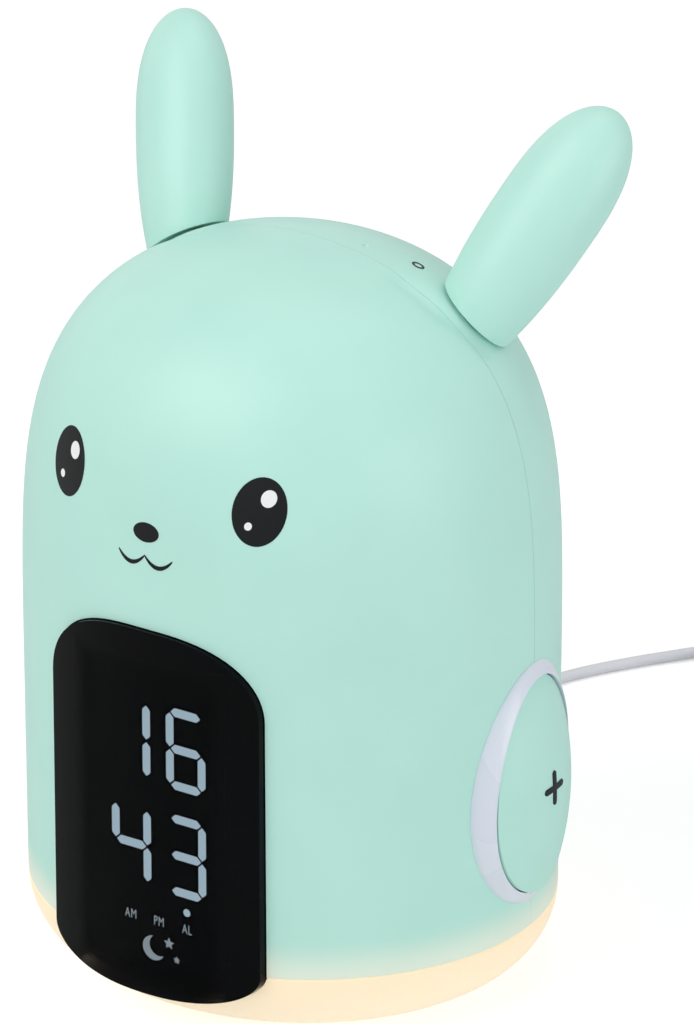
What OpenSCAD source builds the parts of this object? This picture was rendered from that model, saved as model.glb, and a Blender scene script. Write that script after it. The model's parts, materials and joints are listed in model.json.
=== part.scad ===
// Alarm clock for a child's bedside, with a night light in its foot: a domed body with two
// long ears, an arched display window, a large button on each side and a rounded glowing base.
// Millimetres. The origin is the middle of the footprint, on the table. +Z is up, and the
// display looks along -Y.

/* [Body] */
// Half of the body's width, left to right
body_half_w = 62; // [58:0.2:66]
// Half of the body's depth, front to back
body_half_d = 57.2; // [54:0.2:60]
// Height of the top of the dome
dome_top = 172.4; // [168:0.2:180]
// Height at which the upright side starts to round over
dome_start = 59.5; // [55:0.5:65]
// How square the shoulder is, as the power of its curve
dome_power = 4.8; // [4.4:0.1:5.4]
// Share by which the side would widen, from the foot's joint to the top
side_lean = 0.013; // [0:0.001:0.02]
// Wall of the front and rear shells
wall = 2.2; // [1.6:0.1:2.6]
// Place of the joint between the front and rear shells, behind the middle
part_y = 5; // [4:0.5:7]

/* [Glowing base] */
// Height of the joint between the shells and the glowing base
seam_z = 18.4; // [17:0.1:20]
// Height of the underside of the glowing base
base_z = 1; // [0.8:0.1:1.4]
// How far in the rounded lower edge runs
bowl_round = 18.5; // [14:0.5:20]
// Wall of the diffuser
glow_wall = 2; // [1.6:0.1:2.4]
// Height of the collar that centres the diffuser in the shells
collar_h = 4.5; // [3:0.5:5]
// Thickness of the collar
collar_t = 1.6; // [1.2:0.1:2]
// Radius of the bottom plate
plate_r = 36; // [35:0.5:37]
// Thickness of the bottom plate
plate_t = 2.2; // [1.8:0.1:2.4]
// Radius at which the bottom screws stand
base_screw_r = 31; // [30:0.5:32]
// Radius of each rubber foot
foot_r = 4.5; // [3.5:0.5:5]
// Radius at which the rubber feet stand
foot_ring_r = 30; // [28:0.5:31]
// Thickness of each rubber foot
foot_t = 1.8; // [1.6:0.1:2]
// Height of the light board above the table
light_board_z = 12; // [11:0.5:13]
// Radius of the light board
light_board_r = 35; // [34:0.5:36]
// Number of light-emitting chips
light_count = 10; // [6:1:12]

/* [Coin cell] */
// Radius of the coin cell
cell_r = 10; // [8:0.5:10]
// Thickness of the coin cell
cell_t = 3.2; // [2.5:0.1:3.2]
// Radius of the battery door
door_r = 12.5; // [12.5:0.5:14]
// Thickness of the battery door
door_t = 1.6; // [1.2:0.1:1.8]
// Quarter-turn of the battery door
door_turn = 45; // [30:5:60]

/* [Display] */
// Half of the window's width
window_half_w = 28; // [27:0.1:29]
// Height of the window's lowest point
window_low = 10; // [9:0.1:11]
// Height of the window's highest point
window_high = 98.8; // [95:0.2:102]
// Height of the arched upper end
arch_top_h = 18; // [14:0.5:20]
// Height of the arched lower end
arch_low_h = 9; // [8:0.5:12]
// How far the window stands out of the body
face_out = 1.2; // [1:0.1:2]
// Radius of the window's sideways curve
face_r = 77; // [70:1:90]
// Wall of the window moulding
lens_t = 2; // [1.6:0.1:2.2]
// Clearance around the window moulding
lens_gap = 0.25; // [0.2:0.05:0.4]
// Width of one digit
digit_w = 10.6; // [9:0.1:11]
// Height of one digit
digit_h = 19.8; // [18:0.1:21]
// Width of one digit segment
seg_t = 2; // [1.6:0.1:2.2]
// Sideways place of the digit columns
digit_x = 7.5; // [7:0.1:9]
// Height of the middle of the hours
hours_z = 69; // [68:0.5:71]
// Height of the middle of the minutes
minutes_z = 43; // [43:0.5:46]
// Height of the alarm dot
dot_z = 29.5; // [28:0.5:30]

/* [Side buttons] */
// Place of the side buttons' middle, front to back
pod_y = 4.5; // [3:0.5:6]
// Height of the side buttons' middle
pod_z = 54.5; // [53:0.5:56]
// Half of the bezel's width
pod_half_w = 21; // [20:0.5:21.5]
// Half of the bezel's height
pod_half_h = 29; // [28:0.5:29.5]
// How much wider the egg shape is at its lower end
pod_egg = 0.07; // [0:0.01:0.1]
// How far the bezel's front edge stands out of the body
bezel_out = 4.4; // [4:0.1:4.8]
// Width of the bezel's visible band
bezel_band = 3; // [2.6:0.1:3.4]
// How far the cap's crown stands out of the body
cap_out = 7.5; // [7:0.1:8]
// Travel of each side button
side_travel = 1; // [0.6:0.1:1.2]
// Wall of the cap
cap_wall = 2; // [1.6:0.1:2.2]

/* [Rear] */
// Height of the row of rear buttons
rear_row_z = 112; // [110:1:114]
// Distance between rear buttons
rear_pitch = 10.6; // [10:0.2:11]
// Radius of each rear button
rear_button_r = 3.5; // [3:0.1:3.8]
// Travel of each rear button
rear_travel = 0.8; // [0.5:0.1:0.9]
// Height of the middle of the speaker
speaker_z = 76; // [74:1:78]
// Radius of the speaker
speaker_r = 20; // [18:0.5:21]
// Sideways place of the power socket
socket_x = -18; // [-20:0.5:-16]
// Height of the power socket
socket_z = 27; // [26.5:0.5:29]

/* [Ears] */
// Sideways place of the middle of each ear's foot
ear_x = 39.6; // [38:0.2:41]
// Place of the middle of each ear's foot, front to back
ear_y = 15.4; // [15:0.2:17]
// Height of the middle of each ear's foot
ear_z = 158.3; // [157:0.1:159]
// Lean of the ears outwards
ear_out = 23.5; // [20:0.5:25]
// Lean of the ears backwards
ear_back = 29; // [26:0.5:31]
// Length of an ear above its foot
ear_len = 54.5; // [46:0.5:60]
// Half of an ear's width
ear_half_w = 12; // [10.5:0.1:12.5]
// Half of an ear's thickness, front to back
ear_half_d = 10; // [9:0.1:10.5]
// Gap between an ear's foot and the dome
ear_gap = 0.8; // [0.6:0.1:1]
// Radius of the stem inside the dome
stem_r = 4.5; // [4:0.1:4.8]
// Depth of the ear's hinge pin below its foot
pin_depth = 14; // [13.5:0.5:15]
// Radius of the hinge pin
pin_r = 1.5; // [1.2:0.1:1.6]
// How far an ear tips forward when it is pressed
ear_press = 4; // [2:0.5:4]

/* [Cable] */
// Diameter of the cable
cable_d = 2.8; // [2.6:0.1:2.8]
// Radius of the coil's outermost turn
coil_r = 25; // [24:0.5:26]
// Distance between the coil's turns, sideways
coil_pitch = 3.65; // [3.6:0.05:3.8]
// Distance between the coil's two layers
layer_pitch = 3.5; // [3.5:0.05:3.6]

/* [Hidden] */
$fn = 48;

// Facets round the body, and bands up its dome.
body_fn = 96;
dome_bands = 20;
fit_gap = 0.3;
touch = 0.02;

mint = [0.70, 0.89, 0.84];
glow = [1.0, 0.94, 0.82];
lavender = [0.85, 0.87, 0.93];
board_green = [0.12, 0.36, 0.25];
steel = [0.72, 0.73, 0.75];
dark = [0.06, 0.06, 0.07];
white = [0.93, 0.93, 0.92];

// ---- Forms shared by several parts ----

// Share of the full width that the side has at height z.
function lean(z) = 1 + side_lean * (z - seam_z) / (dome_top - seam_z);

// Height on the dome, as the angle runs from its start to its top.
function dome_z(angle, top) = dome_start + (top - dome_start) * pow(sin(angle), 2 / dome_power);

function dome_profile(half_w, low, top) = concat(
    [[0, low], [half_w * lean(low), low], [half_w * lean(dome_start), dome_start]],
    [for (i = [1 : dome_bands])
        let (angle = 90 * i / dome_bands)
        [half_w * lean(dome_z(angle, top)) * cos(angle), dome_z(angle, top)]]);

// Makes a round form as shallow as the body, front to back.
module body_oval(grow) {
    scale([1, (body_half_d + grow) / (body_half_w + grow), 1])
        children();
}

// The domed body above height low, grown outwards by grow.
module dome_form(grow, low = seam_z) {
    body_oval(grow)
        rotate_extrude($fn = body_fn)
            polygon(dome_profile(body_half_w + grow, low, dome_top + grow));
}

bowl_flat = 1 - 2 * bowl_round / (body_half_w + body_half_d);
bowl_steps = 8;

function bowl_profile(half_w, low, high) = concat(
    [[0, high], [0, low]],
    [for (i = [0 : bowl_steps])
        let (angle = 90 * i / bowl_steps)
        [half_w * (bowl_flat + (1 - bowl_flat) * sin(angle)),
            low + (high - low) * (1 - cos(angle))]]);

// The rounded base below height high, grown outwards by grow.
module bowl_form(grow, high = seam_z) {
    hull()
        body_oval(grow)
            rotate_extrude($fn = 64)
                polygon(bowl_profile(body_half_w + grow, base_z - grow, high));
}

module oval_post(grow, z_low, z_high) {
    translate([0, 0, z_low])
        body_oval(grow)
            cylinder(r = body_half_w + grow, h = z_high - z_low, $fn = body_fn);
}

// Draws a flat shape of (x, z) and runs it along Y, or one of (y, z) along X.
module along_y(y_low, y_high) {
    translate([0, y_high, 0])
        rotate([90, 0, 0])
            linear_extrude(y_high - y_low)
                children();
}

module along_x(x_low, x_high) {
    translate([x_low, 0, 0])
        rotate([90, 0, 90])
            linear_extrude(x_high - x_low)
                children();
}

// A round rod that runs along Y or along X.
module rod_y(r, x, z, y_low, y_high) {
    translate([x, y_high, z])
        rotate([90, 0, 0])
            cylinder(r = r, h = y_high - y_low);
}

module rod_x(r, y, z, x_low, x_high, facets = 48) {
    translate([x_low, y, z])
        rotate([0, 90, 0])
            cylinder(r = r, h = x_high - x_low, $fn = facets);
}

module block(low, high) {
    translate(low)
        cube(high - low);
}

// ---- Shells ----

shell_boss_r = 3.6;
shell_screw_r = 1.25;
screw_gap = 0.05;
head_r = 2.6;
tunnel_r = 3;
tunnel_end_y = 15;
screw_front_y = -8;
// Places (x, z) of the screws that join the shells.
shell_screw_places = [[-38, 30], [38, 30], [-46, 112], [46, 112]];

// The frame's flange behind the window, and the screws in its corners.
frame_half_w = 33.8;
frame_low = 25;
frame_high = 96;
display_screw_x = frame_half_w - 2.8;
display_screw_places = [for (x = [-1, 1], z = [frame_low + 4, frame_high - 4])
    [x * display_screw_x, z]];
display_boss_r = 2.8;
small_screw_r = 1.2;
face_y = -body_half_d - face_out;
flange_y = face_y + 16.8;
shoulder_y = face_y + 11.8;

module half_space(side) {
    far = 200;
    if (side < 0)
        block([-far, -far, -far], [far, part_y, far]);
    else
        block([-far, part_y, -far], [far, far, far]);
}

module shell_wall(side) {
    intersection() {
        difference() {
            dome_form(0);
            dome_form(-wall, seam_z - 1);
        }
        half_space(side);
    }
}

module pod_hole(side) {
    pod_side(side)
        along_x(pod_board_x - 5, body_half_w + 15)
            pod_shape(-1.4);
}

module front_shell() {
    color(mint)
        difference() {
            union() {
                shell_wall(-1);
                intersection() {
                    dome_form(-wall / 2);
                    union() {
                        for (p = shell_screw_places)
                            rod_y(shell_boss_r, p[0], p[1], -body_half_d, part_y);
                        for (p = display_screw_places)
                            rod_y(display_boss_r, p[0], p[1], -body_half_d, flange_y);
                    }
                }
            }
            along_y(-80, -30)
                window_shape(lens_gap);
            for (p = shell_screw_places)
                rod_y(shell_screw_r + screw_gap, p[0], p[1], screw_front_y - 2, part_y + 1);
            for (p = display_screw_places)
                rod_y(small_screw_r + screw_gap, p[0], p[1], flange_y - 5, flange_y + 1);
            for (side = [-1, 1])
                pod_hole(side);
            translate([0, 0, touch])
                for (side = [-1, 1])
                    ear_well(side);
        }
}

rear_tunnel_r = shell_boss_r + 0.6;
grille_slots = 7;
grille_pitch = 4.4;
slot_h = 2;

module rear_shell() {
    color(mint)
        difference() {
            union() {
                shell_wall(1);
                intersection() {
                    dome_form(-wall / 2);
                    half_space(1);
                    union() {
                        for (p = shell_screw_places)
                            rod_y(rear_tunnel_r, p[0], p[1], part_y, body_half_d);
                        for (x = carrier_screw_x)
                            translate([x, carrier_screw_y, carrier_z + carrier_t])
                                cylinder(r = carrier_boss_r, h = dome_top);
                        for (x = rear_screw_x)
                            rod_y(small_boss_r, x, rear_row_z, rear_board_y + board_t, body_half_d);
                        for (x = socket_screw_x)
                            rod_y(small_boss_r, x, socket_z, socket_board_y + board_t, body_half_d);
                        speaker_seat();
                    }
                }
            }
            for (p = shell_screw_places) {
                rod_y(shell_screw_r + screw_gap + 0.2, p[0], p[1], part_y - 1, tunnel_end_y + 1);
                rod_y(tunnel_r, p[0], p[1], tunnel_end_y, body_half_d + 1);
            }
            for (x = carrier_screw_x)
                translate([x, carrier_screw_y, carrier_z])
                    cylinder(r = small_screw_r + screw_gap, h = 12);
            for (x = rear_screw_x)
                rod_y(small_screw_r + screw_gap, x, rear_row_z, rear_board_y, rear_board_y + 5);
            for (x = socket_screw_x)
                rod_y(small_screw_r + screw_gap, x, socket_z, socket_board_y, socket_board_y + 4.5);
            for (a = speaker_screw_angles)
                speaker_rod(a, speaker_screw_r + screw_gap, speaker_face_y - 2, speaker_face_y + 4);
            for (side = [-1, 1]) {
                pod_hole(side);
                ear_well(side);
            }
            for (x = rear_button_x)
                rod_y(rear_button_r + fit_gap, x, rear_row_z, rear_board_y + 4, body_half_d + 5);
            translate([13.5, 9.8, dome_top - 1.5])
                sphere(r = 0.9);
            for (i = [0 : grille_slots - 1])
                grille_slot(speaker_z + (i - (grille_slots - 1) / 2) * grille_pitch);
            block([socket_x - plug_w / 2 - fit_gap, socket_board_y - 3, socket_z - plug_h / 2 - fit_gap],
                [socket_x + plug_w / 2 + fit_gap, body_half_d + 10, socket_z + plug_h / 2 + fit_gap]);
        }
}

// One slot of the grille, as long as the round speaker allows.
module grille_slot(z) {
    half = sqrt(pow(speaker_r - 4, 2) - pow(z - speaker_z, 2));
    block([-half, speaker_face_y + 0.5, z - slot_h / 2], [half, body_half_d + 5, z + slot_h / 2]);
}

module shell_screws() {
    color(steel)
        for (p = shell_screw_places) {
            rod_y(shell_screw_r, p[0], p[1], screw_front_y, tunnel_end_y + 0.5);
            rod_y(head_r, p[0], p[1], tunnel_end_y, tunnel_end_y + 2);
        }
}

// ---- Glowing base ----

// Heights of the diffuser's floor, where the bottom plate and the light board seat.
floor_low = base_z + plate_t;
floor_t = 2.2;
floor_hole_r = 27;
base_boss_r = 3.2;
base_screw_angles = [45, 135, 225, 315];
foot_angles = [0, 90, 180, 270];
screw_head_t = 1.4;
plate_bottom = base_z - 0.2;

module at_ring(radius, angles) {
    for (a = angles)
        rotate([0, 0, a])
            translate([radius, 0, 0])
                children();
}

module diffuser() {
    ledge = 2.5;
    inner = -(wall + fit_gap + collar_t);
    color(glow)
        difference() {
            union() {
                bowl_form(0);
                oval_post(-(wall + fit_gap), seam_z - ledge, seam_z + collar_h);
            }
            difference() {
                bowl_form(-glow_wall, seam_z - ledge);
                block([-100, -100, -10], [100, 100, floor_low + floor_t]);
                at_ring(base_screw_r, base_screw_angles)
                    cylinder(r = base_boss_r, h = light_board_z);
            }
            oval_post(inner, seam_z - ledge - touch, seam_z + collar_h + 1);
            translate([0, 0, -1])
                cylinder(r = floor_hole_r, h = 20);
            translate([0, 0, -1])
                cylinder(r = plate_r + fit_gap, h = floor_low + 1);
            at_ring(base_screw_r, base_screw_angles)
                cylinder(r = small_screw_r + screw_gap, h = light_board_z + 1);
            along_y(-80, -20)
                window_shape(lens_gap);
        }
}

module base_plate() {
    color(white)
        difference() {
            union() {
                translate([0, 0, plate_bottom])
                    cylinder(r = plate_r, h = floor_low - plate_bottom, $fn = 96);
                at_ring(peg_ring_r, tab_angles)
                    translate([0, 0, plate_bottom])
                        cylinder(r = peg_r, h = peg_top - plate_bottom);
            }
            at_ring(base_screw_r, base_screw_angles) {
                cylinder(r = small_screw_r + 0.2, h = 10);
                cylinder(r = head_r + 0.2, h = plate_bottom + screw_head_t);
            }
            at_ring(foot_ring_r, foot_angles)
                cylinder(r = foot_r, h = foot_t);
            cylinder(r = door_r + fit_gap, h = 10);
            rotate([0, 0, door_turn])
                door_tabs(fit_gap, 10);
        }
}

module rubber_feet() {
    color([0.25, 0.25, 0.27])
        at_ring(foot_ring_r, foot_angles)
            cylinder(r = foot_r, h = foot_t);
}

base_screw_end = light_board_z - 4;

module base_screws() {
    color(steel)
        at_ring(base_screw_r, base_screw_angles) {
            translate([0, 0, plate_bottom])
                cylinder(r = head_r, h = screw_head_t);
            translate([0, 0, plate_bottom + screw_head_t])
                cylinder(r = small_screw_r, h = base_screw_end - plate_bottom - screw_head_t);
        }
}

board_t = 1.6;
light_screw_t = 1.2;

module light_board() {
    color(white)
        translate([0, 0, light_board_z])
            difference() {
                cylinder(r = light_board_r, h = board_t, $fn = 96);
                translate([0, 0, -1])
                    cylinder(r = 16, h = 4);
                at_ring(base_screw_r, base_screw_angles)
                    translate([0, 0, -1])
                        cylinder(r = small_screw_r + 0.1, h = 4);
            }
}

module light_chips() {
    chip = 3.5;
    color([1, 0.97, 0.8])
        for (i = [0 : light_count - 1])
            rotate([0, 0, 360 * (i + 0.5) / light_count])
                translate([26 - chip / 2, -chip / 2, light_board_z + board_t])
                    cube([chip, chip, 1.2]);
}

module light_screws() {
    color(steel)
        at_ring(base_screw_r, base_screw_angles) {
            translate([0, 0, light_board_z + board_t])
                cylinder(r = head_r - 0.4, h = light_screw_t);
            translate([0, 0, base_screw_end + 0.3])
                cylinder(r = small_screw_r, h = light_board_z + board_t - base_screw_end - 0.2);
        }
}

// The door's three tabs enter through notches and turn in over the bottom plate.
door_top = plate_bottom + door_t;
door_ring_t = 1.7;
tab_t = 1.2;
tab_reach = 1.7;
tab_half_w = 2.6;
tab_angles = [90, 210, 330];
tab_z = floor_low + fit_gap;
peg_r = 1;
peg_ring_r = 18.5;
peg_top = floor_low + 2;

module door_tabs(grow, height) {
    at_ring(door_r - 0.6, tab_angles)
        translate([0, -tab_half_w - grow, 0])
            cube([tab_reach + 0.6 + grow, 2 * (tab_half_w + grow), height]);
}

module battery_door() {
    slot = [14, 2, 0.7];
    color(white)
        difference() {
            union() {
                translate([0, 0, plate_bottom])
                    cylinder(r = door_r, h = door_t);
                translate([0, 0, door_top])
                    cylinder(r = door_r, h = tab_z + tab_t - door_top);
                translate([0, 0, tab_z])
                    door_tabs(0, tab_t);
            }
            translate([0, 0, door_top])
                cylinder(r = door_r - door_ring_t, h = 10);
            translate([-slot[0] / 2, -slot[1] / 2, plate_bottom - touch])
                cube(slot);
        }
}

groove_r = door_r + tab_reach + fit_gap;
groove_top = tab_z + tab_t + fit_gap;
cell_z = door_top + 0.3;
cell_top = cell_z + cell_t;

module cell_holder() {
    color([0.2, 0.2, 0.22])
        difference() {
            union() {
                translate([0, 0, floor_low])
                    cylinder(r = peg_ring_r + 2, h = peg_top - floor_low);
                translate([0, 0, floor_low])
                    cylinder(r = groove_r + 1.6, h = cell_top + 1.8 - floor_low);
            }
            cylinder(r = groove_r, h = groove_top);
            cylinder(r = cell_r + 0.3, h = cell_top + 0.3);
            at_ring(peg_ring_r, tab_angles)
                cylinder(r = peg_r + screw_gap, h = 20);
        }
}

module coin_cell() {
    color(steel)
        translate([0, 0, cell_z]) {
            cylinder(r = cell_r - 1.2, h = cell_t);
            translate([0, 0, 0.6])
                cylinder(r = cell_r, h = cell_t - 0.6);
        }
}

// ---- Display ----

arch_steps = 12;
arch_power = 2.6;

// One arched end of the window: points from the right edge to the left edge.
function arch(half_w, mid_z, rise, steps) = [for (i = [0 : steps])
    let (angle = 180 * i / steps, side = cos(angle))
    [half_w * sign(side) * pow(abs(side), 2 / arch_power), mid_z + rise * sin(angle)]];

module window_shape(grow) {
    w = window_half_w + grow;
    polygon(concat(
        arch(w, window_high - arch_top_h, arch_top_h + grow, 2 * arch_steps),
        [for (p = arch(w, window_low + arch_low_h, -arch_low_h - grow, 2 * arch_steps))
            [-p[0], p[1]]]));
}

// The window's outer form, or a smaller one inside it.
module lens_form(inset, back_y) {
    intersection() {
        along_y(-70, back_y)
            window_shape(-inset);
        translate([0, face_y + face_r, -5])
            cylinder(r = face_r - inset, h = 120, $fn = 180);
    }
}

// Segments of each digit: place x, place z, letters of the lit segments.
digits = [[-digit_x, hours_z, "bc"], [digit_x, hours_z, "acdefg"],
    [-digit_x, minutes_z, "bcfg"], [digit_x, minutes_z, "abcdg"]];
seg_gap = 0.35;

module segment(length, grow) {
    l = length / 2 + grow;
    t = seg_t / 2 + grow;
    polygon([[-l, 0], [t - l, t], [l - t, t], [l, 0], [l - t, -t], [t - l, -t]]);
}

module digit_segment(letter, grow) {
    side = digit_w / 2 - seg_t / 2;
    end = digit_h / 2 - seg_t / 2;
    across = digit_w - seg_t - 2 * seg_gap;
    up = end - 2 * seg_gap;
    flat = letter == "a" || letter == "g" || letter == "d";
    z = letter == "a" ? end : letter == "g" ? 0 : letter == "d" ? -end
        : letter == "b" || letter == "f" ? end / 2 : -end / 2;
    x = flat ? 0 : letter == "b" || letter == "c" ? side : -side;
    translate([x, z])
        rotate(flat ? 0 : 90)
            segment(flat ? across : up, grow);
}

module lit_shapes(grow) {
    for (d = digits)
        translate([d[0], d[1]])
            for (letter = d[2])
                digit_segment(letter, grow);
    translate([digit_x, dot_z])
        circle(r = 0.9 + grow, $fn = 24);
}

module window_lens() {
    color(dark)
        difference() {
            lens_form(0, shoulder_y);
            lens_form(lens_t, shoulder_y + 1);
        }
}

mask_y = face_y + 6.1;
mask_t = 1.3;
guide_y = mask_y + mask_t;
guide_t = 1.5;
guide_half_w = 23;
guide_low = dot_z - 3;
guide_high = hours_z + digit_h / 2 + 3;

module digit_guide() {
    color([0.80, 0.88, 0.92])
        union() {
            block([-guide_half_w, guide_y, guide_low], [guide_half_w, guide_y + guide_t, guide_high]);
            along_y(mask_y, guide_y + touch)
                lit_shapes(0);
        }
}

flange_t = 1.6;

module display_frame() {
    color(dark)
        difference() {
            union() {
                intersection() {
                    lens_form(lens_t + fit_gap, flange_y);
                    block([-frame_half_w, mask_y, 0], [frame_half_w, flange_y, window_high]);
                }
                along_y(shoulder_y, flange_y)
                    window_shape(0);
                block([-frame_half_w, flange_y, frame_low],
                    [frame_half_w, flange_y + flange_t, frame_high]);
            }
            along_y(mask_y - 1, guide_y + touch)
                lit_shapes(0.1);
            block([-guide_half_w - 0.1, guide_y, guide_low - 0.1],
                [guide_half_w + 0.1, flange_y + 5, guide_high + 0.1]);
            for (p = display_screw_places)
                rod_y(small_screw_r + 0.15, p[0], p[1], -60, -30);
        }
}

display_board_y = flange_y + flange_t;

module display_board() {
    color(board_green)
        difference() {
            block([-frame_half_w + 0.4, display_board_y, frame_low + 1],
                [frame_half_w - 0.4, display_board_y + board_t, frame_high - 1]);
            for (p = display_screw_places)
                rod_y(small_screw_r + 0.15, p[0], p[1], -60, -30);
        }
}

module display_leds() {
    color([0.9, 0.95, 1])
        for (x = [-digit_x, digit_x], z = [hours_z, minutes_z], up = [-1, 0, 1])
            block([x - 1.4, display_board_y - 1.2, z + up * 6 - 1],
                [x + 1.4, display_board_y, z + up * 6 + 1]);
}

module display_screws() {
    head_y = display_board_y + board_t;
    color(steel)
        for (p = display_screw_places) {
            rod_y(small_screw_r, p[0], p[1], flange_y - 4.5, head_y + 0.5);
            rod_y(head_r - 0.4, p[0], p[1], head_y, head_y + 1.4);
        }
}

spacer_places = [[-20, 42], [20, 42], [-20, 86], [20, 86]];
main_board_y = display_board_y + 9.4;

module board_spacers() {
    color(white)
        for (p = spacer_places)
            difference() {
                rod_y(2.4, p[0], p[1], display_board_y + board_t, main_board_y);
                rod_y(1.1, p[0], p[1], display_board_y, main_board_y + 1);
            }
}

module main_board() {
    color(board_green)
        difference() {
            block([-25, main_board_y, 36], [25, main_board_y + board_t, 92]);
            for (p = spacer_places)
                rod_y(1.1, p[0], p[1], main_board_y - 1, main_board_y + 3);
        }
}

module board_chips() {
    y = main_board_y + board_t;
    color(dark) {
        block([-7, y, 58], [7, y + 2, 72]);
        block([-16, y, 48], [-8, y + 1.6, 54]);
        block([10, y, 46], [17, y + 3, 50]);
        block([-10, y, 80], [10, y + 5, 84]);
    }
}

module main_screws() {
    head_y = main_board_y + board_t;
    color(steel)
        for (p = spacer_places) {
            rod_y(1, p[0], p[1], display_board_y + board_t + 0.4, head_y + 0.5);
            rod_y(2, p[0], p[1], head_y, head_y + 1.2);
        }
}

// ---- Side buttons ----

pod_steps = 40;

module pod_shape(grow) {
    polygon([for (i = [0 : pod_steps - 1])
        let (angle = 360 * i / pod_steps)
        [(pod_half_w + grow) * sin(angle) * (1 - pod_egg * cos(angle)),
            (pod_half_h + grow) * cos(angle)]]);
}

// Places a side button's part on the right, or mirrors it to the left.
module pod_side(side) {
    mirror([side < 0 ? 1 : 0, 0, 0])
        translate([0, pod_y, pod_z])
            children();
}

skirt_t = 1.3;
skirt_in_x = body_half_w - 8;
pod_board_x = body_half_w - 16;
rim_low_x = body_half_w - 3.5;
rim_high_x = body_half_w + bezel_out;
cap_x = body_half_w + cap_out;
pod_post = pod_half_h + 2;
pod_screw_r = 0.85;
pod_tab_t = 2;

module bezel() {
    tab_w = 4;
    difference() {
        union() {
            intersection() {
                union() {
                    difference() {
                        hull() {
                            along_x(pod_board_x, rim_low_x)
                                pod_shape(0);
                            along_x(rim_high_x - 0.1, rim_high_x)
                                pod_shape(-2.4);
                        }
                        translate([0, -pod_y, -pod_z])
                            dome_form(touch);
                    }
                    along_x(skirt_in_x, rim_low_x)
                        pod_shape(-bezel_band + skirt_t);
                }
                cap_crown(0.4);
            }
            for (up = [-1, 1])
                mirror([0, 0, up < 0 ? 1 : 0])
                    block([skirt_in_x, -tab_w, pod_half_h - bezel_band],
                        [skirt_in_x + pod_tab_t, tab_w, pod_post + 2.6]);
            for (up = [-1, 1])
                rod_x(2.3, 0, up * pod_post, pod_board_x + board_t, skirt_in_x + 1);
        }
        along_x(pod_board_x - 5, cap_x + 5)
            pod_shape(-bezel_band);
        for (up = [-1, 1])
            rod_x(pod_screw_r + screw_gap, 0, up * pod_post, pod_board_x, skirt_in_x + pod_tab_t - 0.6);
    }
}

switch_h = 3.5;
plunger_h = 0.8;
cap_inner_x = pod_board_x + board_t + switch_h + plunger_h + side_travel + 0.1;
crown_d = 18;
crown_half_w = 25;
crown_half_h = 40;
crown_shift = -3;

module cap_crown(inset) {
    translate([cap_x - crown_d, crown_shift, 0])
        scale([crown_d - inset, crown_half_w - inset, crown_half_h - inset])
            sphere(r = 1, $fn = 44);
}

module side_cap() {
    flange_x = skirt_in_x - 0.2;
    difference() {
        union() {
            intersection() {
                along_x(flange_x - 1.4, cap_x)
                    pod_shape(-bezel_band - fit_gap);
                cap_crown(0);
            }
            along_x(flange_x - 1.4, flange_x)
                pod_shape(-bezel_band + 1.2);
        }
        intersection() {
            along_x(flange_x - 3, cap_x)
                pod_shape(-bezel_band - fit_gap - cap_wall);
            cap_crown(cap_wall);
        }
    }
    rod_x(3, 0, 0, cap_inner_x, cap_x - 1.5);
}

mark_size = 8.3;
mark_t = 1.5;
mark_low = cap_x - 1.5;

// The raised sign on a cap, drawn as one or two crossed bars.
module sign(bars) {
    intersection() {
        for (i = [0 : bars - 1])
            rotate([90 * i, 0, 0])
                hull()
                    for (end = [-1, 1])
                        rod_x(mark_t / 2, end * (mark_size - mark_t) / 2, 0, mark_low, cap_x + 1, 16);
        difference() {
            cap_crown(-0.25);
            cap_crown(0);
        }
    }
}

module tact_switch() {
    block([0, -3, -3], [switch_h, 3, 3]);
    translate([switch_h - touch, 0, 0])
        rotate([0, 90, 0])
            cylinder(r = 1.7, h = plunger_h + touch);
}

module side_board() {
    half_h = pod_post + 3;
    difference() {
        block([pod_board_x, -7, -half_h], [pod_board_x + board_t, 7, half_h]);
        for (up = [-1, 1])
            rod_x(pod_screw_r + 0.15, 0, up * pod_post, pod_board_x - 1, pod_board_x + 3);
    }
    translate([pod_board_x + board_t - touch, 0, 0])
        tact_switch();
}

module side_screws() {
    for (up = [-1, 1]) {
        rod_x(pod_screw_r, 0, up * pod_post, pod_board_x - 0.5, skirt_in_x + 0.6);
        rod_x(1.8, 0, up * pod_post, pod_board_x - 1.2, pod_board_x);
    }
}

module plus_bezel() {
    color(lavender)
        pod_side(1)
            bezel();
}

module minus_bezel() {
    color(lavender)
        pod_side(-1)
            bezel();
}

module plus_button() {
    color(mint)
        pod_side(1)
            side_cap();
}

module minus_button() {
    color(mint)
        pod_side(-1)
            side_cap();
}

module plus_mark() {
    color(dark)
        pod_side(1)
            sign(2);
}

module minus_mark() {
    color(dark)
        pod_side(-1)
            sign(1);
}

module plus_board() {
    color(board_green)
        pod_side(1)
            side_board();
}

module minus_board() {
    color(board_green)
        pod_side(-1)
            side_board();
}

module plus_screws() {
    color(steel)
        pod_side(1)
            side_screws();
}

module minus_screws() {
    color(steel)
        pod_side(-1)
            side_screws();
}

// ---- Ears ----

ear_bands = 12;
ear_low_bands = 5;
ear_foot_share = 0.82;
ear_tip_power = 2.6;
ear_foot_power = 2.4;
ear_below = 0.16;

// Outline of half an ear, above and below the middle of its length.
function ear_tip(a) = [ear_half_w * cos(a),
    ear_len * (0.5 + 0.5 * pow(sin(a), 2 / ear_tip_power))];
function ear_low(s) = [ear_half_w * (1 - (1 - ear_foot_share) * pow(2 * s, ear_foot_power)),
    ear_len * (0.5 - s)];

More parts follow.
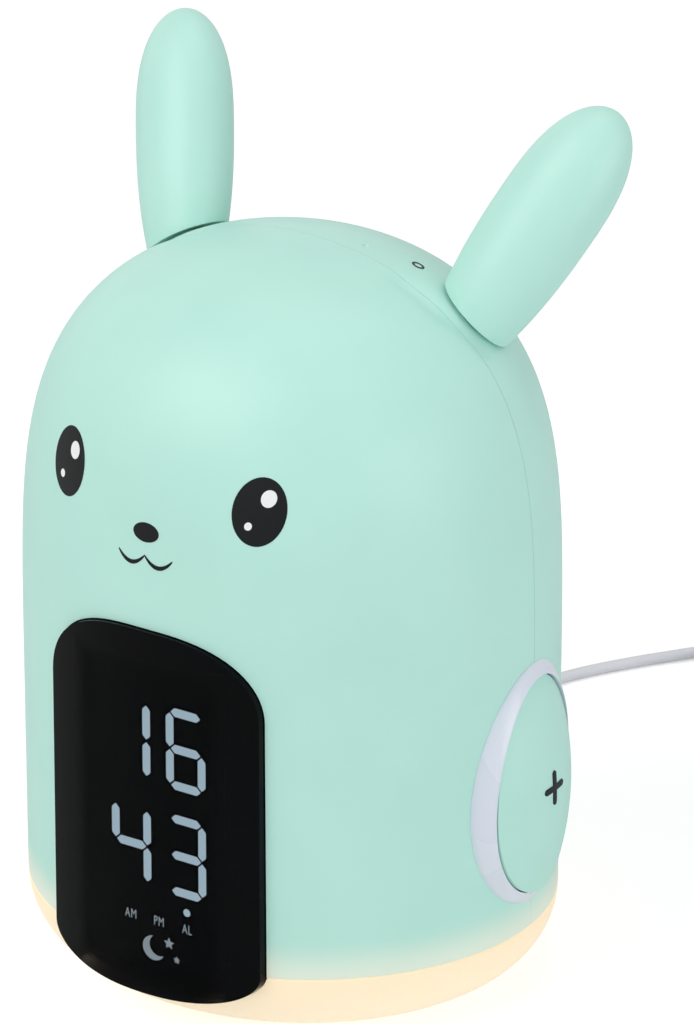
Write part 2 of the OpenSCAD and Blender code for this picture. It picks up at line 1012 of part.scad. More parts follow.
module ear_solid() {
    hull()
        scale([1, ear_half_d / ear_half_w, 1])
            rotate_extrude($fn = 40)
                polygon(concat(
                    [[0, -ear_len * ear_below]],
                    [for (i = [0 : ear_low_bands - 1])
                        ear_low((0.5 + ear_below) * (1 - i / ear_low_bands))],
                    [for (i = [0 : ear_bands]) ear_tip(90 * i / ear_bands)]));
}

module mirror_side(side) {
    mirror([side < 0 ? 1 : 0, 0, 0])
        children();
}

// The ear's own frame: its foot at the origin and its length along +Z.
module ear_frame() {
    translate([ear_x, ear_y, ear_z])
        rotate([-ear_back, ear_out, 0])
            children();
}

// Place of the hinge pin.
pin_at = [ear_x - pin_depth * sin(ear_out) * cos(ear_back),
    ear_y - pin_depth * sin(ear_back),
    ear_z - pin_depth * cos(ear_out) * cos(ear_back)];
stem_end_half = 4.2;
tail_len = 7.5;

// Room for the stem to rock in.
module ear_well(side) {
    mirror_side(side)
        ear_frame()
            translate([0, 0, -pin_depth])
                cylinder(r = stem_r + 1.7, h = pin_depth + 4);
}

module ear(side) {
    color(mint)
        mirror_side(side) {
            difference() {
                ear_frame()
                    ear_solid();
                dome_form(ear_gap);
            }
            difference() {
                union() {
                    ear_frame()
                        translate([0, 0, -pin_depth])
                            cylinder(r = stem_r, h = pin_depth + 6);
                    rod_x(stem_end_half, pin_at[1], pin_at[2],
                        pin_at[0] - stem_end_half, pin_at[0] + stem_end_half);
                    block([pin_at[0] - 1.5, pin_at[1] - 1.5, pin_at[2] - tail_len],
                        [pin_at[0] + 1.5, pin_at[1] + 1.5, pin_at[2]]);
                }
                rod_x(pin_r + screw_gap, pin_at[1], pin_at[2], pin_at[0] - 12, pin_at[0] + 12);
            }
        }
}

lug_in = 6.8;
lug_t = 2.2;
lug_half_d = 3.4;
carrier_t = 2;
carrier_z = pin_at[2] - 11;
carrier_screw_x = [-13, 13];
carrier_screw_y = 17;
carrier_boss_r = 3.4;

module ear_pins() {
    color(steel)
        for (side = [-1, 1])
            mirror_side(side)
                rod_x(pin_r, pin_at[1], pin_at[2],
                    pin_at[0] - lug_in - lug_t - 0.3, pin_at[0] + lug_in + lug_t + 0.3);
}

module ear_springs() {
    color(steel)
        for (side = [-1, 1])
            mirror_side(side)
                difference() {
                    rod_x(pin_r + 1.3, pin_at[1], pin_at[2],
                        pin_at[0] - lug_in, pin_at[0] - stem_end_half - fit_gap);
                    rod_x(pin_r + 0.2, pin_at[1], pin_at[2], pin_at[0] - 12, pin_at[0] + 12);
                }
}

module ear_carrier() {
    color(white)
        difference() {
            union() {
                block([-44, part_y + 0.5, carrier_z], [44, 23, carrier_z + carrier_t]);
                for (side = [-1, 1], hand = [-1, 1])
                    mirror_side(side)
                        translate([pin_at[0] + hand * (lug_in + lug_t / 2), pin_at[1], carrier_z])
                            block([-lug_t / 2, -lug_half_d, 0],
                                [lug_t / 2, lug_half_d, pin_at[2] - carrier_z + 2.8]);
            }
            for (side = [-1, 1])
                mirror_side(side)
                    rod_x(pin_r + 0.01, pin_at[1], pin_at[2], pin_at[0] - 12, pin_at[0] + 12);
            for (x = carrier_screw_x)
                translate([x, carrier_screw_y, carrier_z - 1])
                    cylinder(r = small_screw_r + 0.15, h = 5);
        }
}

module ear_switches() {
    plunger_y = pin_at[1] + 1.5 + tail_len * tan(ear_press) + 0.2;
    color(dark)
        for (side = [-1, 1])
            mirror_side(side) {
                block([pin_at[0] - 3, plunger_y + plunger_h, carrier_z + carrier_t],
                    [pin_at[0] + 3, plunger_y + plunger_h + switch_h, carrier_z + carrier_t + 6]);
                rod_y(1.5, pin_at[0], carrier_z + carrier_t + 2.6,
                    plunger_y, plunger_y + plunger_h + touch);
            }
}

module carrier_screws() {
    color(steel)
        for (x = carrier_screw_x)
            translate([x, carrier_screw_y, 0]) {
                translate([0, 0, carrier_z - 1.4])
                    cylinder(r = head_r - 0.2, h = 1.4);
                translate([0, 0, carrier_z - 0.5])
                    cylinder(r = small_screw_r, h = 11);
            }
}

// ---- Rear buttons, speaker and power socket ----

small_boss_r = 2.6;
rear_board_y = body_half_d - 15.2;
rear_button_x = [for (i = [-1.5 : 1 : 1.5]) i * rear_pitch];
rear_screw_x = [-25, 25];
rear_switch_h = 3;
rear_plunger_h = 0.6;
rear_proud = 1.5;

// Outer surface of the shell at the back, at sideways place x of the button row.
row_share = lean(rear_row_z)
    * sqrt(1 - pow((rear_row_z - dome_start) / (dome_top - dome_start), dome_power));
function back_y(x, inset = 0) = (body_half_d - inset) * row_share
    * sqrt(1 - pow(x / ((body_half_w - inset) * row_share), 2));
rear_flange_r = rear_button_r + 0.9;

// Where a button's flange stops, just inside the wall at its outer edge.
function seat_y(x) = back_y(abs(x) + rear_flange_r, wall) - 0.5;

module rear_button(index) {
    x = rear_button_x[index];
    low = rear_board_y + board_t + rear_switch_h + rear_plunger_h + rear_travel + 0.1;
    color(white) {
        rod_y(rear_button_r, x, rear_row_z, low, back_y(x) + rear_proud);
        rod_y(rear_flange_r, x, rear_row_z, seat_y(x) - 1, seat_y(x));
    }
}

module button_1() {
    rear_button(0);
}

module button_2() {
    rear_button(1);
}

module button_3() {
    rear_button(2);
}

module button_4() {
    rear_button(3);
}

module rear_board() {
    y = rear_board_y + board_t;
    color(board_green) {
        difference() {
            block([-29, rear_board_y, rear_row_z - 6], [29, y, rear_row_z + 6]);
            for (x = rear_screw_x)
                rod_y(small_screw_r + 0.15, x, rear_row_z, rear_board_y - 1, y + 1);
        }
        for (x = rear_button_x) {
            block([x - 3, y - touch, rear_row_z - 3], [x + 3, y + rear_switch_h, rear_row_z + 3]);
            rod_y(1.6, x, rear_row_z, y, y + rear_switch_h + rear_plunger_h);
        }
    }
}

module rear_screws() {
    color(steel)
        for (x = rear_screw_x) {
            rod_y(small_screw_r, x, rear_row_z, rear_board_y - 0.5, rear_board_y + 4.6);
            rod_y(head_r - 0.4, x, rear_row_z, rear_board_y - 1.4, rear_board_y);
        }
}

speaker_face_y = body_half_d - 8.2;
rim_t = 1;
speaker_screw_r = 1;
speaker_screw_angles = [90, 210, 330];
screw_ring_r = speaker_r + 2;
magnet_r = 11;

// A rod along Y at an angle round the speaker.
module speaker_rod(angle, r, y_low, y_high) {
    rod_y(r, screw_ring_r * cos(angle), speaker_z + screw_ring_r * sin(angle), y_low, y_high);
}

module speaker_seat() {
    difference() {
        rod_y(speaker_r + 4, 0, speaker_z, speaker_face_y - rim_t, body_half_d);
        rod_y(speaker_r + fit_gap, 0, speaker_z, speaker_face_y - 5, speaker_face_y);
        rod_y(speaker_r - 2, 0, speaker_z, speaker_face_y - 5, body_half_d);
    }
}

module around_speaker() {
    translate([0, speaker_face_y, speaker_z])
        rotate([90, 0, 0])
            rotate_extrude($fn = 72)
                children();
}

basket_depth = 9;

// Inner radius of the speaker's basket at a depth behind its rim.
function basket_in(depth) = speaker_r - 3
    - (speaker_r - magnet_r - 4) * depth / (basket_depth - rim_t);

module speaker_frame() {
    depth = basket_depth;
    color(dark)
        around_speaker()
            polygon([[speaker_r, 0], [speaker_r, rim_t], [speaker_r - 1.4, rim_t],
                [magnet_r + 2, depth], [6, depth], [6, depth - rim_t],
                [magnet_r + 1, depth - rim_t], [speaker_r - 3, 0]]);
}

module speaker_cone() {
    t = 0.6;
    color([0.3, 0.3, 0.32])
        around_speaker()
            polygon([[0, 3], [5, 5.4], [basket_in(0.2) - 0.1, 0.2], [basket_in(0.2 + t) - 0.1, 0.2 + t],
                [5, 5.4 + t], [0, 3 + t]]);
}

module speaker_magnet() {
    color([0.35, 0.35, 0.37])
        rod_y(magnet_r, 0, speaker_z, speaker_face_y - basket_depth - 6, speaker_face_y - basket_depth);
}

module speaker_screws() {
    color(steel)
        for (a = speaker_screw_angles) {
            speaker_rod(a, speaker_screw_r, speaker_face_y - rim_t - 0.5, speaker_face_y + 3.5);
            speaker_rod(a, 2.6, speaker_face_y - rim_t - 1.2, speaker_face_y - rim_t);
        }
}

socket_board_y = body_half_d - 13.2;
socket_screw_x = [socket_x - 10, socket_x + 10];
socket_mouth_y = body_half_d - 4.7;
tip_w = 6.8;
tip_h = 1.8;
plug_w = 11;
plug_h = 7;

module usb_socket() {
    gap = 0.15;
    metal = 0.6;
    half_w = tip_w / 2 + gap;
    half_h = tip_h / 2 + gap;
    color(steel)
        difference() {
            block([socket_x - half_w - metal, socket_board_y + board_t, socket_z - half_h - metal],
                [socket_x + half_w + metal, socket_mouth_y, socket_z + half_h + metal]);
            block([socket_x - half_w, socket_board_y + board_t + 1, socket_z - half_h],
                [socket_x + half_w, socket_mouth_y + 1, socket_z + half_h]);
        }
}

module socket_board() {
    color(board_green)
        difference() {
            block([socket_x - 13.5, socket_board_y, socket_z - 3],
                [socket_x + 13.5, socket_board_y + board_t, socket_z + 9]);
            for (x = socket_screw_x)
                rod_y(small_screw_r + 0.15, x, socket_z, socket_board_y - 1, socket_board_y + 3);
        }
}

module socket_screws() {
    color(steel)
        for (x = socket_screw_x) {
            rod_y(small_screw_r, x, socket_z, socket_board_y - 0.5, socket_board_y + 4);
            rod_y(head_r - 0.4, x, socket_z, socket_board_y - 1.4, socket_board_y);
        }
}

// ---- Cable ----

plug_face_y = socket_mouth_y + 0.2;
plug_back_y = body_half_d + 10;
relief_end_y = body_half_d + 26.8;
cable_r = cable_d / 2;

module cable_plug() {
    tip = 4.6;
    color([0.9, 0.9, 0.92]) {
        block([socket_x - tip_w / 2, plug_face_y - tip, socket_z - tip_h / 2],
            [socket_x + tip_w / 2, plug_face_y + 1, socket_z + tip_h / 2]);
        block([socket_x - plug_w / 2, plug_face_y, socket_z - plug_h / 2],
            [socket_x + plug_w / 2, plug_back_y, socket_z + plug_h / 2]);
        translate([socket_x, relief_end_y, socket_z])
            rotate([90, 0, 0])
                cylinder(r1 = cable_r + 0.5, r2 = 3, h = relief_end_y - plug_back_y + 1);
    }
}

// The lead's own route, from the strain relief over the table to the coil.
lead_route = [[socket_x, relief_end_y, socket_z], [socket_x, relief_end_y + 5, socket_z],
    [-18, 94, 26.2], [-18.6, 99, 24.4], [-19.6, 104, 21.2], [-20.8, 109, 17],
    [-22, 114, 12.5], [-23.4, 119, 8.4], [-24.8, 124, 5.2], [-26.3, 130, 2.7],
    [-27.6, 136, 1.6], [-28.3, 142, 1.4], [-28.3, 148, 1.4], [-27.1, 154.2, 1.4],
    [-24.8, 159.6, 1.4], [-22.1, 164.7, 1.4], [-19.2, 169.6, 1.4], [-16.2, 174.4, 1.4],
    [-13, 179, 1.4], [-9.6, 183.6, 1.5], [-5.9, 188.2, 1.6], [-2.1, 192.9, 1.8],
    [1.8, 197.6, 1.9], [5.52, 202.34, 2]];

coil_at = [26, 188];
coil_low_z = 2;
turns_in = 4.5;
turns_climb = 0.5;
turns_out = 4.36;
coil_turns = turns_in + turns_climb + turns_out;
coil_start = 145;
loop_rings = 24;
coil_inner_r = coil_r - coil_pitch * turns_in;
climb_end = turns_in + turns_climb;

function coil_radius(t) = t < turns_in ? coil_r - coil_pitch * t
    : t < climb_end ? coil_inner_r
    : coil_inner_r + coil_pitch * (t - climb_end);
function coil_height(t) = t < turns_in ? coil_low_z
    : t < climb_end ? coil_low_z + layer_pitch * (t - turns_in) / turns_climb
    : coil_low_z + layer_pitch;
function coil_point(t) =
    let (a = coil_start - 360 * t, r = coil_radius(t))
    [coil_at[0] + r * cos(a), coil_at[1] + r * sin(a), coil_height(t)];

coil_steps = floor(coil_turns * loop_rings);
tail_direction = [sin(coil_start - 360 * coil_turns), -cos(coil_start - 360 * coil_turns)];
coil_end = coil_point(coil_turns);
tail_drop = 0.9;
tail_length = 22;
tail_steps = 4;
turn_points = concat(
    [for (i = [0 : coil_steps]) coil_point(coil_turns * i / coil_steps)]);
tail_points = [for (i = [1 : tail_steps])
    let (s = i / tail_steps)
    [coil_end[0] + tail_direction[0] * tail_length * s,
        coil_end[1] + tail_direction[1] * tail_length * s,
        coil_end[2] - tail_drop * s * s * (3 - 2 * s)]];
coil_points = concat(turn_points, tail_points);

// The least distance between the skins of two stretches of the coil.
half_loop = loop_rings / 2;
coil_gap = min([for (i = [0 : len(turn_points) - half_loop - 1])
    min([for (j = [i + half_loop : len(turn_points) - 1])
        norm(turn_points[i] - turn_points[j])])]) - cable_d;
echo(coil_gap = coil_gap);

function unit(v) = v / norm(v);
function heading(points, i) = i == 0 ? unit(points[1] - points[0])
    : i == len(points) - 1 ? unit(points[i] - points[i - 1])
    : unit(points[i + 1] - points[i - 1]);

// One ring of a tube: a regular polygon square to the heading.
function ring(centre, direction, r, sides) =
    let (across = unit(cross([0, 0, 1], direction)), up = cross(direction, across))
    [for (k = [0 : sides - 1])
        let (a = 360 * (k + 0.5) / sides)
        centre + r * (cos(a) * across + sin(a) * up)];

// A tube of one radius, swept along points.
module tube(points, r, sides) {
    count = len(points);
    vertices = [for (i = [0 : count - 1])
        each ring(points[i], heading(points, i), r, sides)];
    walls = [for (i = [0 : count - 2], k = [0 : sides - 1])
        let (n = (k + 1) % sides, a = i * sides, b = a + sides)
        each [[a + k, a + n, b + n], [a + k, b + n, b + k]]];
    near_end = [for (k = [1 : sides - 2]) [0, k + 1, k]];
    far_end = [for (k = [1 : sides - 2])
        let (a = (count - 1) * sides)
        [a, a + k, a + k + 1]];
    polyhedron(vertices, concat(walls, near_end, far_end));
}

// A smooth curve through the route's points.
function spline(p, i, s) =
    let (a = p[max(i - 1, 0)], b = p[i], c = p[i + 1], d = p[min(i + 2, len(p) - 1)])
    0.5 * (2 * b + (c - a) * s + (2 * a - 5 * b + 4 * c - d) * s * s
        + (3 * b - a - 3 * c + d) * s * s * s);
lead_points = concat(
    [for (i = [0 : len(lead_route) - 2], s = [0, 0.5]) spline(lead_route, i, s)],
    [lead_route[len(lead_route) - 1]]);

module cable_lead() {
    color([0.88, 0.88, 0.91])
        tube(lead_points, cable_r, 8);
}

module cable_coil() {
    color([0.88, 0.88, 0.91])
        tube(coil_points, cable_r, 6);
}

tie_t = 0.5;
tie_w = 6;

module cable_tie() {
    low = [coil_inner_r - cable_r - 0.6, -tie_w / 2, coil_low_z - cable_r - 0.05];
    high = [coil_r + cable_r + 0.5, tie_w / 2, coil_low_z + layer_pitch + cable_r + 0.3];
    wrap = [tie_t, 0, tie_t];
    color(dark)
        translate([coil_at[0], coil_at[1], 0])
            rotate([0, 0, -100])
                difference() {
                    block(low - wrap, high + wrap);
                    block(low - [0, 1, 0], high + [0, 1, 0]);
                }
}

far_plug_len = 22;
far_plug_w = 14;
far_plug_h = 9;
far_relief = 12;
far_shell = [12, 4.5, 12];

module far_frame() {
    end = coil_points[len(coil_points) - 1];
    translate(end)
        rotate([0, 0, atan2(tail_direction[1], tail_direction[0])])
            children();
}

module far_plug() {
    color([0.9, 0.9, 0.92])
        far_frame() {
            rotate([0, 90, 0])
                cylinder(r1 = cable_r + 0.5, r2 = 3, h = far_relief + 1);
            block([far_relief, -far_plug_w / 2, -far_plug_h / 2],
                [far_relief + far_plug_len, far_plug_w / 2, far_plug_h / 2]);
        }
}

module far_plug_shell() {
    start = far_relief + far_plug_len;
    metal = 0.4;
    color(steel)
        far_frame()
            difference() {
                block([start, -far_shell[0] / 2, -far_shell[1] / 2],
                    [start + far_shell[2], far_shell[0] / 2, far_shell[1] / 2]);
                block([start + 1, metal - far_shell[0] / 2, 0],
                    [start + far_shell[2] + 1, far_shell[0] / 2 - metal, far_shell[1] / 2 - metal]);
            }
}

module ear_left() {
    ear(-1);
}

module ear_right() {
    ear(1);
}

front_shell();
rear_shell();
diffuser();
base_plate();
rubber_feet();
base_screws();
shell_screws();
light_board();
light_chips();
light_screws();
battery_door();
cell_holder();
coin_cell();
window_lens();
digit_guide();
display_frame();
display_board();
display_leds();
display_screws();
board_spacers();
main_board();
board_chips();
main_screws();
plus_bezel();
plus_button();
plus_mark();
plus_board();
plus_screws();
minus_bezel();
minus_button();
minus_mark();
minus_board();
minus_screws();
ear_left();
ear_right();
ear_pins();
ear_springs();
ear_carrier();
ear_switches();
carrier_screws();
button_1();
button_2();
button_3();
button_4();
rear_board();
rear_screws();
speaker_frame();
speaker_cone();
speaker_magnet();
speaker_screws();
usb_socket();
socket_board();
socket_screws();
cable_plug();
cable_lead();
cable_coil();
cable_tie();
far_plug();
far_plug_shell();
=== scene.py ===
"""A child's bedside alarm clock with a night light in its foot, dressed for the camera.

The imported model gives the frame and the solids. This script adds the studio, the smooth
outer pieces, the printed signs, the cable and the materials. Lengths are written in
millimetres and turned to metres by mm().
"""

import json
import logging
import math
from collections.abc import Callable, Iterator
from contextlib import contextmanager
from dataclasses import dataclass, field
from enum import Enum
from functools import cache

import bpy
from mathutils import Matrix, Vector


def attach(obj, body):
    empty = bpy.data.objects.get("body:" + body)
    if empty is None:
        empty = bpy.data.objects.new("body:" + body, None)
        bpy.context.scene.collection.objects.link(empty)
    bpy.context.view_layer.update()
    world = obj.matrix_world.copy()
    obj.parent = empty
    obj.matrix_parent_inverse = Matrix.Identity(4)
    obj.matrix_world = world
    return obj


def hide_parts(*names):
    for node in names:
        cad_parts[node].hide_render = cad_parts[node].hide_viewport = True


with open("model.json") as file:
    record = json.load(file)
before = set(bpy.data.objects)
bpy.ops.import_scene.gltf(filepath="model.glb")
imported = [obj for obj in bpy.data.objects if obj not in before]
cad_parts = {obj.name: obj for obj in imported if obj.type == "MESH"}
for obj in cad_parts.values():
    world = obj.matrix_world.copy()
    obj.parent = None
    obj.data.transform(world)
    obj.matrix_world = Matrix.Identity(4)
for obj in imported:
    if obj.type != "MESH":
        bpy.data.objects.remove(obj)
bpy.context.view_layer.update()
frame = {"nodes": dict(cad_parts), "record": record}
log = logging.getLogger("clock")
SAME_POINT = 0.002  # Points nearer than this, in millimetres, are one.

Point = tuple[float, float, float]
Pair = tuple[float, float]
Flat = list[Pair]
Obj = bpy.types.Object
Material = bpy.types.Material
Tree = bpy.types.NodeTree
Node = bpy.types.Node
Socket = bpy.types.NodeSocket


class Body(Enum):
    """Names of the moving groups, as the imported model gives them."""

    CLOCK = "clock"
    DOOR = "door"
    PLUS = "plus_key"
    MINUS = "minus_key"
    LEFT_EAR = "left_ear"
    RIGHT_EAR = "right_ear"
    KEY_1 = "key_1"
    KEY_2 = "key_2"
    KEY_3 = "key_3"
    KEY_4 = "key_4"


class Axis(Enum):
    """The direction in which a flat outline is run: the outline's own directions are the others."""

    ALONG_X = (1, 0, 0)
    ALONG_Y = (0, 1, 0)


def mm(value: float) -> float:
    """Turns millimetres to metres."""
    return value / 1000


def linear(code: str) -> tuple[float, float, float, float]:
    """Turns an sRGB hex code to linear colour.

    Args:
        code: The colour as "#RRGGBB".

    Returns:
        Linear red, green, blue and an alpha of 1.
    """
    parts = [int(code[i : i + 2], 16) / 255 for i in (1, 3, 5)]
    red, green, blue = (
        c / 12.92 if c <= 0.04045 else ((c + 0.055) / 1.055) ** 2.4 for c in parts
    )
    return red, green, blue, 1.0


# ---- Tools of the bench ----


def add_node(tree: Tree, kind: str, links: dict | None = None, **settings) -> Node:
    """Adds one shader node.

    Args:
        tree: The material's node tree.
        kind: Blender's name of the node.
        links: Input name or number, against the socket that feeds it or its plain value.
        **settings: Properties of the node.

    Returns:
        The new node.
    """
    made = tree.nodes.new(kind)
    for name, value in settings.items():
        setattr(made, name, value)
    for key, source in (links or {}).items():
        if isinstance(source, Socket):
            tree.links.new(source, made.inputs[key])
        else:
            made.inputs[key].default_value = source
    return made


def only(obj: Obj) -> Obj:
    """Deselects everything, then selects obj and makes it active."""
    bpy.ops.object.select_all(action="DESELECT")
    obj.select_set(True)
    bpy.context.view_layer.objects.active = obj
    return obj


def added(operator: Callable, name: str, **settings) -> Obj:
    """Adds a primitive and names it.

    Args:
        operator: The bpy.ops call that adds it.
        name: The new object's name.
        **settings: What the call takes.

    Returns:
        The new object, alone in the selection.
    """
    bpy.ops.object.select_all(action="DESELECT")
    operator(**settings)
    obj = bpy.context.active_object
    obj.name = name
    obj.data.name = name
    return obj


@contextmanager
def editing(obj: Obj, mode: str = "FACE") -> Iterator[Obj]:
    """Opens obj in edit mode with all of it selected, and leaves edit mode after the block."""
    only(obj)
    bpy.ops.object.mode_set(mode="EDIT")
    bpy.ops.mesh.select_mode(type=mode)
    bpy.ops.mesh.select_all(action="SELECT")
    yield obj
    bpy.ops.object.mode_set(mode="OBJECT")


def face_outwards() -> None:
    """Selects the whole mesh in edit mode and turns its faces outwards."""
    bpy.ops.mesh.select_all(action="SELECT")
    bpy.ops.mesh.normals_make_consistent(inside=False)


def settle(obj: Obj) -> Obj:
    """Applies obj's place, turn and size to its mesh."""
    only(obj)
    bpy.ops.object.transform_apply(location=True, rotation=True, scale=True)
    return obj


def modify(obj: Obj, kind: str, **settings) -> Obj:
    """Adds a modifier and applies it.

    Args:
        obj: The mesh object.
        kind: Blender's name of the modifier.
        **settings: Its properties.

    Returns:
        The same object.
    """
    only(obj)
    made = obj.modifiers.new(kind.title(), kind)
    for name, value in settings.items():
        setattr(made, name, value)
    bpy.ops.object.modifier_apply(modifier=made.name)
    return obj


def combine(obj: Obj, operation: str, tools: list[Obj]) -> Obj:
    """Works each tool into obj by a Boolean operation, and removes the tools."""
    for tool in tools:
        modify(obj, "BOOLEAN", operation=operation, solver="EXACT", object=tool)
        bpy.data.objects.remove(tool)
    return obj


def cut(obj: Obj, tools: list[Obj]) -> Obj:
    """Cuts tools out of obj."""
    return combine(obj, "DIFFERENCE", tools)


def clip(obj: Obj, tool: Obj) -> Obj:
    """Keeps the part of obj that lies inside tool."""
    return combine(obj, "INTERSECT", [tool])


def fuse(obj: Obj, tools: list[Obj]) -> Obj:
    """Makes obj and tools one solid."""
    return combine(obj, "UNION", tools)


def merged(parts: list[Obj]) -> Obj:
    """Joins separate meshes into the first one."""
    bpy.ops.object.select_all(action="DESELECT")
    for part in parts:
        part.select_set(True)
    bpy.context.view_layer.objects.active = parts[0]
    bpy.ops.object.join()
    return parts[0]


def twin(obj: Obj, name: str) -> Obj:
    """Copies obj with a mesh of its own."""
    made = obj.copy()
    made.data = obj.data.copy()
    made.name = name
    made.data.name = name
    bpy.context.scene.collection.objects.link(made)
    return made


def mirrored(obj: Obj, name: str) -> Obj:
    """Copies a closed piece to the other side of the clock, with its faces outwards."""
    made = twin(obj, name)
    made.scale = (-1, 1, 1)
    settle(made)
    with editing(made):
        face_outwards()
    return made


def both_sides(obj: Obj) -> list[Obj]:
    """A right-hand piece and its copy for the left."""
    return [obj, mirrored(obj, obj.name + "_left")]


def placed(name: str, data: bpy.types.ID) -> Obj:
    """Puts a new object with that data in the scene."""
    obj = bpy.data.objects.new(name, data)
    bpy.context.scene.collection.objects.link(obj)
    return obj


def aimed(obj: Obj, way: Vector) -> Obj:
    """Turns a camera or lamp to look along way."""
    obj.rotation_mode = "QUATERNION"
    obj.rotation_quaternion = way.to_track_quat("-Z", "Y")
    return obj


def chain(name: str, points: list[Vector]) -> Obj:
    """Draws a line of edges by extruding one vertex from point to point.

    Args:
        name: The new object's name.
        points: The places of its vertices, in millimetres.

    Returns:
        The new object.
    """
    obj = added(bpy.ops.mesh.primitive_plane_add, name, size=mm(1), location=(0, 0, 0))
    with editing(obj, "VERT"):
        bpy.ops.mesh.merge(type="CENTER")
        bpy.ops.transform.translate(value=points[0] / 1000)
        for a, b in zip(points, points[1:]):
            bpy.ops.mesh.extrude_vertices_move(TRANSFORM_OT_translate={"value": (b - a) / 1000})
    return obj


def turned(name: str, profile: Flat, steps: int = 144, ratio: float = 1.0) -> Obj:
    """Turns a profile round Z.

    Args:
        name: The new object's name.
        profile: Points (radius, height) in millimetres, closed or from axis to axis.
        steps: How many steps go round.
        ratio: Its depth as a share of its width.

    Returns:
        The new closed object.
    """
    obj = chain(name, [Vector((x, 0, z)) for x, z in profile])
    with editing(obj, "VERT"):
        bpy.ops.mesh.spin(steps=steps, angle=math.tau, center=(0, 0, 0), axis=(0, 0, 1))
        bpy.ops.mesh.select_all(action="SELECT")
        bpy.ops.mesh.remove_doubles(threshold=mm(SAME_POINT))
        face_outwards()
        bpy.ops.transform.resize(value=(1, ratio, 1), center_override=(0, 0, 0))
    return obj


def lofted(
    name: str,
    outline: Flat,
    axis: Axis,
    stages: list[tuple[float, float, float]],
    centre: tuple[float, float] = (0.0, 0.0),
) -> Obj:
    """Extrudes a closed outline in stages, each with its own size.

    Args:
        name: The new object's name.
        outline: Points (x, z) for a run along Y, or (y, z) for one along X.
        axis: The direction of the run.
        stages: For each stage its place along the axis, and its width and height as shares.
        centre: The point of the outline that stays where it is.

    Returns:
        The new closed object.
    """
    run = Vector(axis.value)

    def at(u: float, v: float, along: float) -> Vector:
        return Vector((along, u, v)) if axis is Axis.ALONG_X else Vector((u, along, v))

    place, wide, high = stages[0]
    obj = chain(name, [at(u, v, place) for u, v in outline + outline[:1]])
    with editing(obj, "VERT"):
        bpy.ops.mesh.remove_doubles(threshold=mm(SAME_POINT))
        bpy.ops.mesh.edge_face_add()
        for next_place, next_wide, next_high in stages[1:]:
            step = run * mm(next_place - place)
            bpy.ops.mesh.extrude_region_move(TRANSFORM_OT_translate={"value": step})
            shares = at(next_wide / wide, next_high / high, 1.0)
            middle = at(*centre, next_place) / 1000
            bpy.ops.transform.resize(value=shares, center_override=middle)
            place, wide, high = next_place, next_wide, next_high
        face_outwards()
    return obj


def prism(name: str, outline: Flat, axis: Axis, low: float, high: float) -> Obj:
    """Extrudes a closed outline straight from low to high along axis, in millimetres."""
    return lofted(name, outline, axis, [(low, 1, 1), (high, 1, 1)])


def rod(name: str, radius: float, start: Point, end: Point, facets: int = 40) -> Obj:
    """Adds a round rod between two points, in millimetres."""
    a, b = Vector(start) / 1000, Vector(end) / 1000
    obj = added(
        bpy.ops.mesh.primitive_cylinder_add,
        name,
        vertices=facets,
        radius=mm(radius),
        depth=(b - a).length,
        location=(a + b) / 2,
        rotation=(b - a).to_track_quat("Z", "Y").to_euler(),
    )
    return settle(obj)


def peg(name: str, radius: float, at: Pair, low: float, high: float, facets: int = 40) -> Obj:
    """Adds a round rod along Y at (x, z), in millimetres."""
    x, z = at
    return rod(name, radius, (x, low, z), (x, high, z), facets)


def slab(name: str, low: Point, high: Point) -> Obj:
    """Adds a square-edged block between two corners, in millimetres."""
    a, b = Vector(low) / 1000, Vector(high) / 1000
    return settle(
        added(bpy.ops.mesh.primitive_cube_add, name, size=1.0, location=(a + b) / 2, scale=b - a)
    )


def soften(obj: Obj, width: float, segments: int = 3, angle: float = 40) -> Obj:
    """Rounds the edges of obj that are sharper than angle, in degrees."""
    return modify(
        obj,
        "BEVEL",
        width=mm(width),
        segments=segments,
        limit_method="ANGLE",
        angle_limit=math.radians(angle),
        harden_normals=False,
    )


def reshape(obj: Obj, rule: Callable[[Vector], Vector]) -> Obj:
    """Moves each vertex of obj to where rule puts it, both in millimetres."""
    for vertex in obj.data.vertices:
        vertex.co = rule(vertex.co * 1000) / 1000
    return obj


def smooth(obj: Obj, angle: float = 32, weighted: bool = False) -> Obj:
    """Shades obj smooth, apart from edges sharper than angle, in degrees.

    Args:
        obj: The mesh object.
        angle: The sharpest edge that is smoothed.
        weighted: Whether large faces keep their own flatness beside small ones.

    Returns:
        The same object.
    """
    only(obj)
    bpy.ops.object.shade_smooth_by_angle(angle=math.radians(angle))
    if weighted:
        modify(obj, "WEIGHTED_NORMAL", keep_sharp=True)
    return obj


def dress(obj: Obj, material: Material) -> Obj:
    """Gives obj one material in place of any it has."""
    obj.data.materials.clear()
    obj.data.materials.append(material)
    return obj


def finish(
    obj: Obj, body: Body, slot: str, nodes: tuple[str, ...] = (), look: str = ""
) -> Obj:
    """Settles a new piece in the frame and dresses it.

    Args:
        obj: The finished mesh.
        body: The moving group that it rides on.
        slot: The record's material slot.
        nodes: CAD nodes that it stands for.
        look: Its finish, where that isn't the slot's own.

    Returns:
        The same object.
    """
    settle(obj)
    dress(obj, material(look or slot))
    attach(obj, body.value)
    if nodes:
        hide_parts(*nodes)
    log.info("%s: %d faces", obj.name, len(obj.data.polygons))
    return obj


# ---- Finishes ----


def maths(tree: Tree, operation: str, *values: Socket | float) -> Socket:
    """Works out one operation on one or two values."""
    return add_node(tree, "ShaderNodeMath", dict(enumerate(values)), operation=operation).outputs[0]


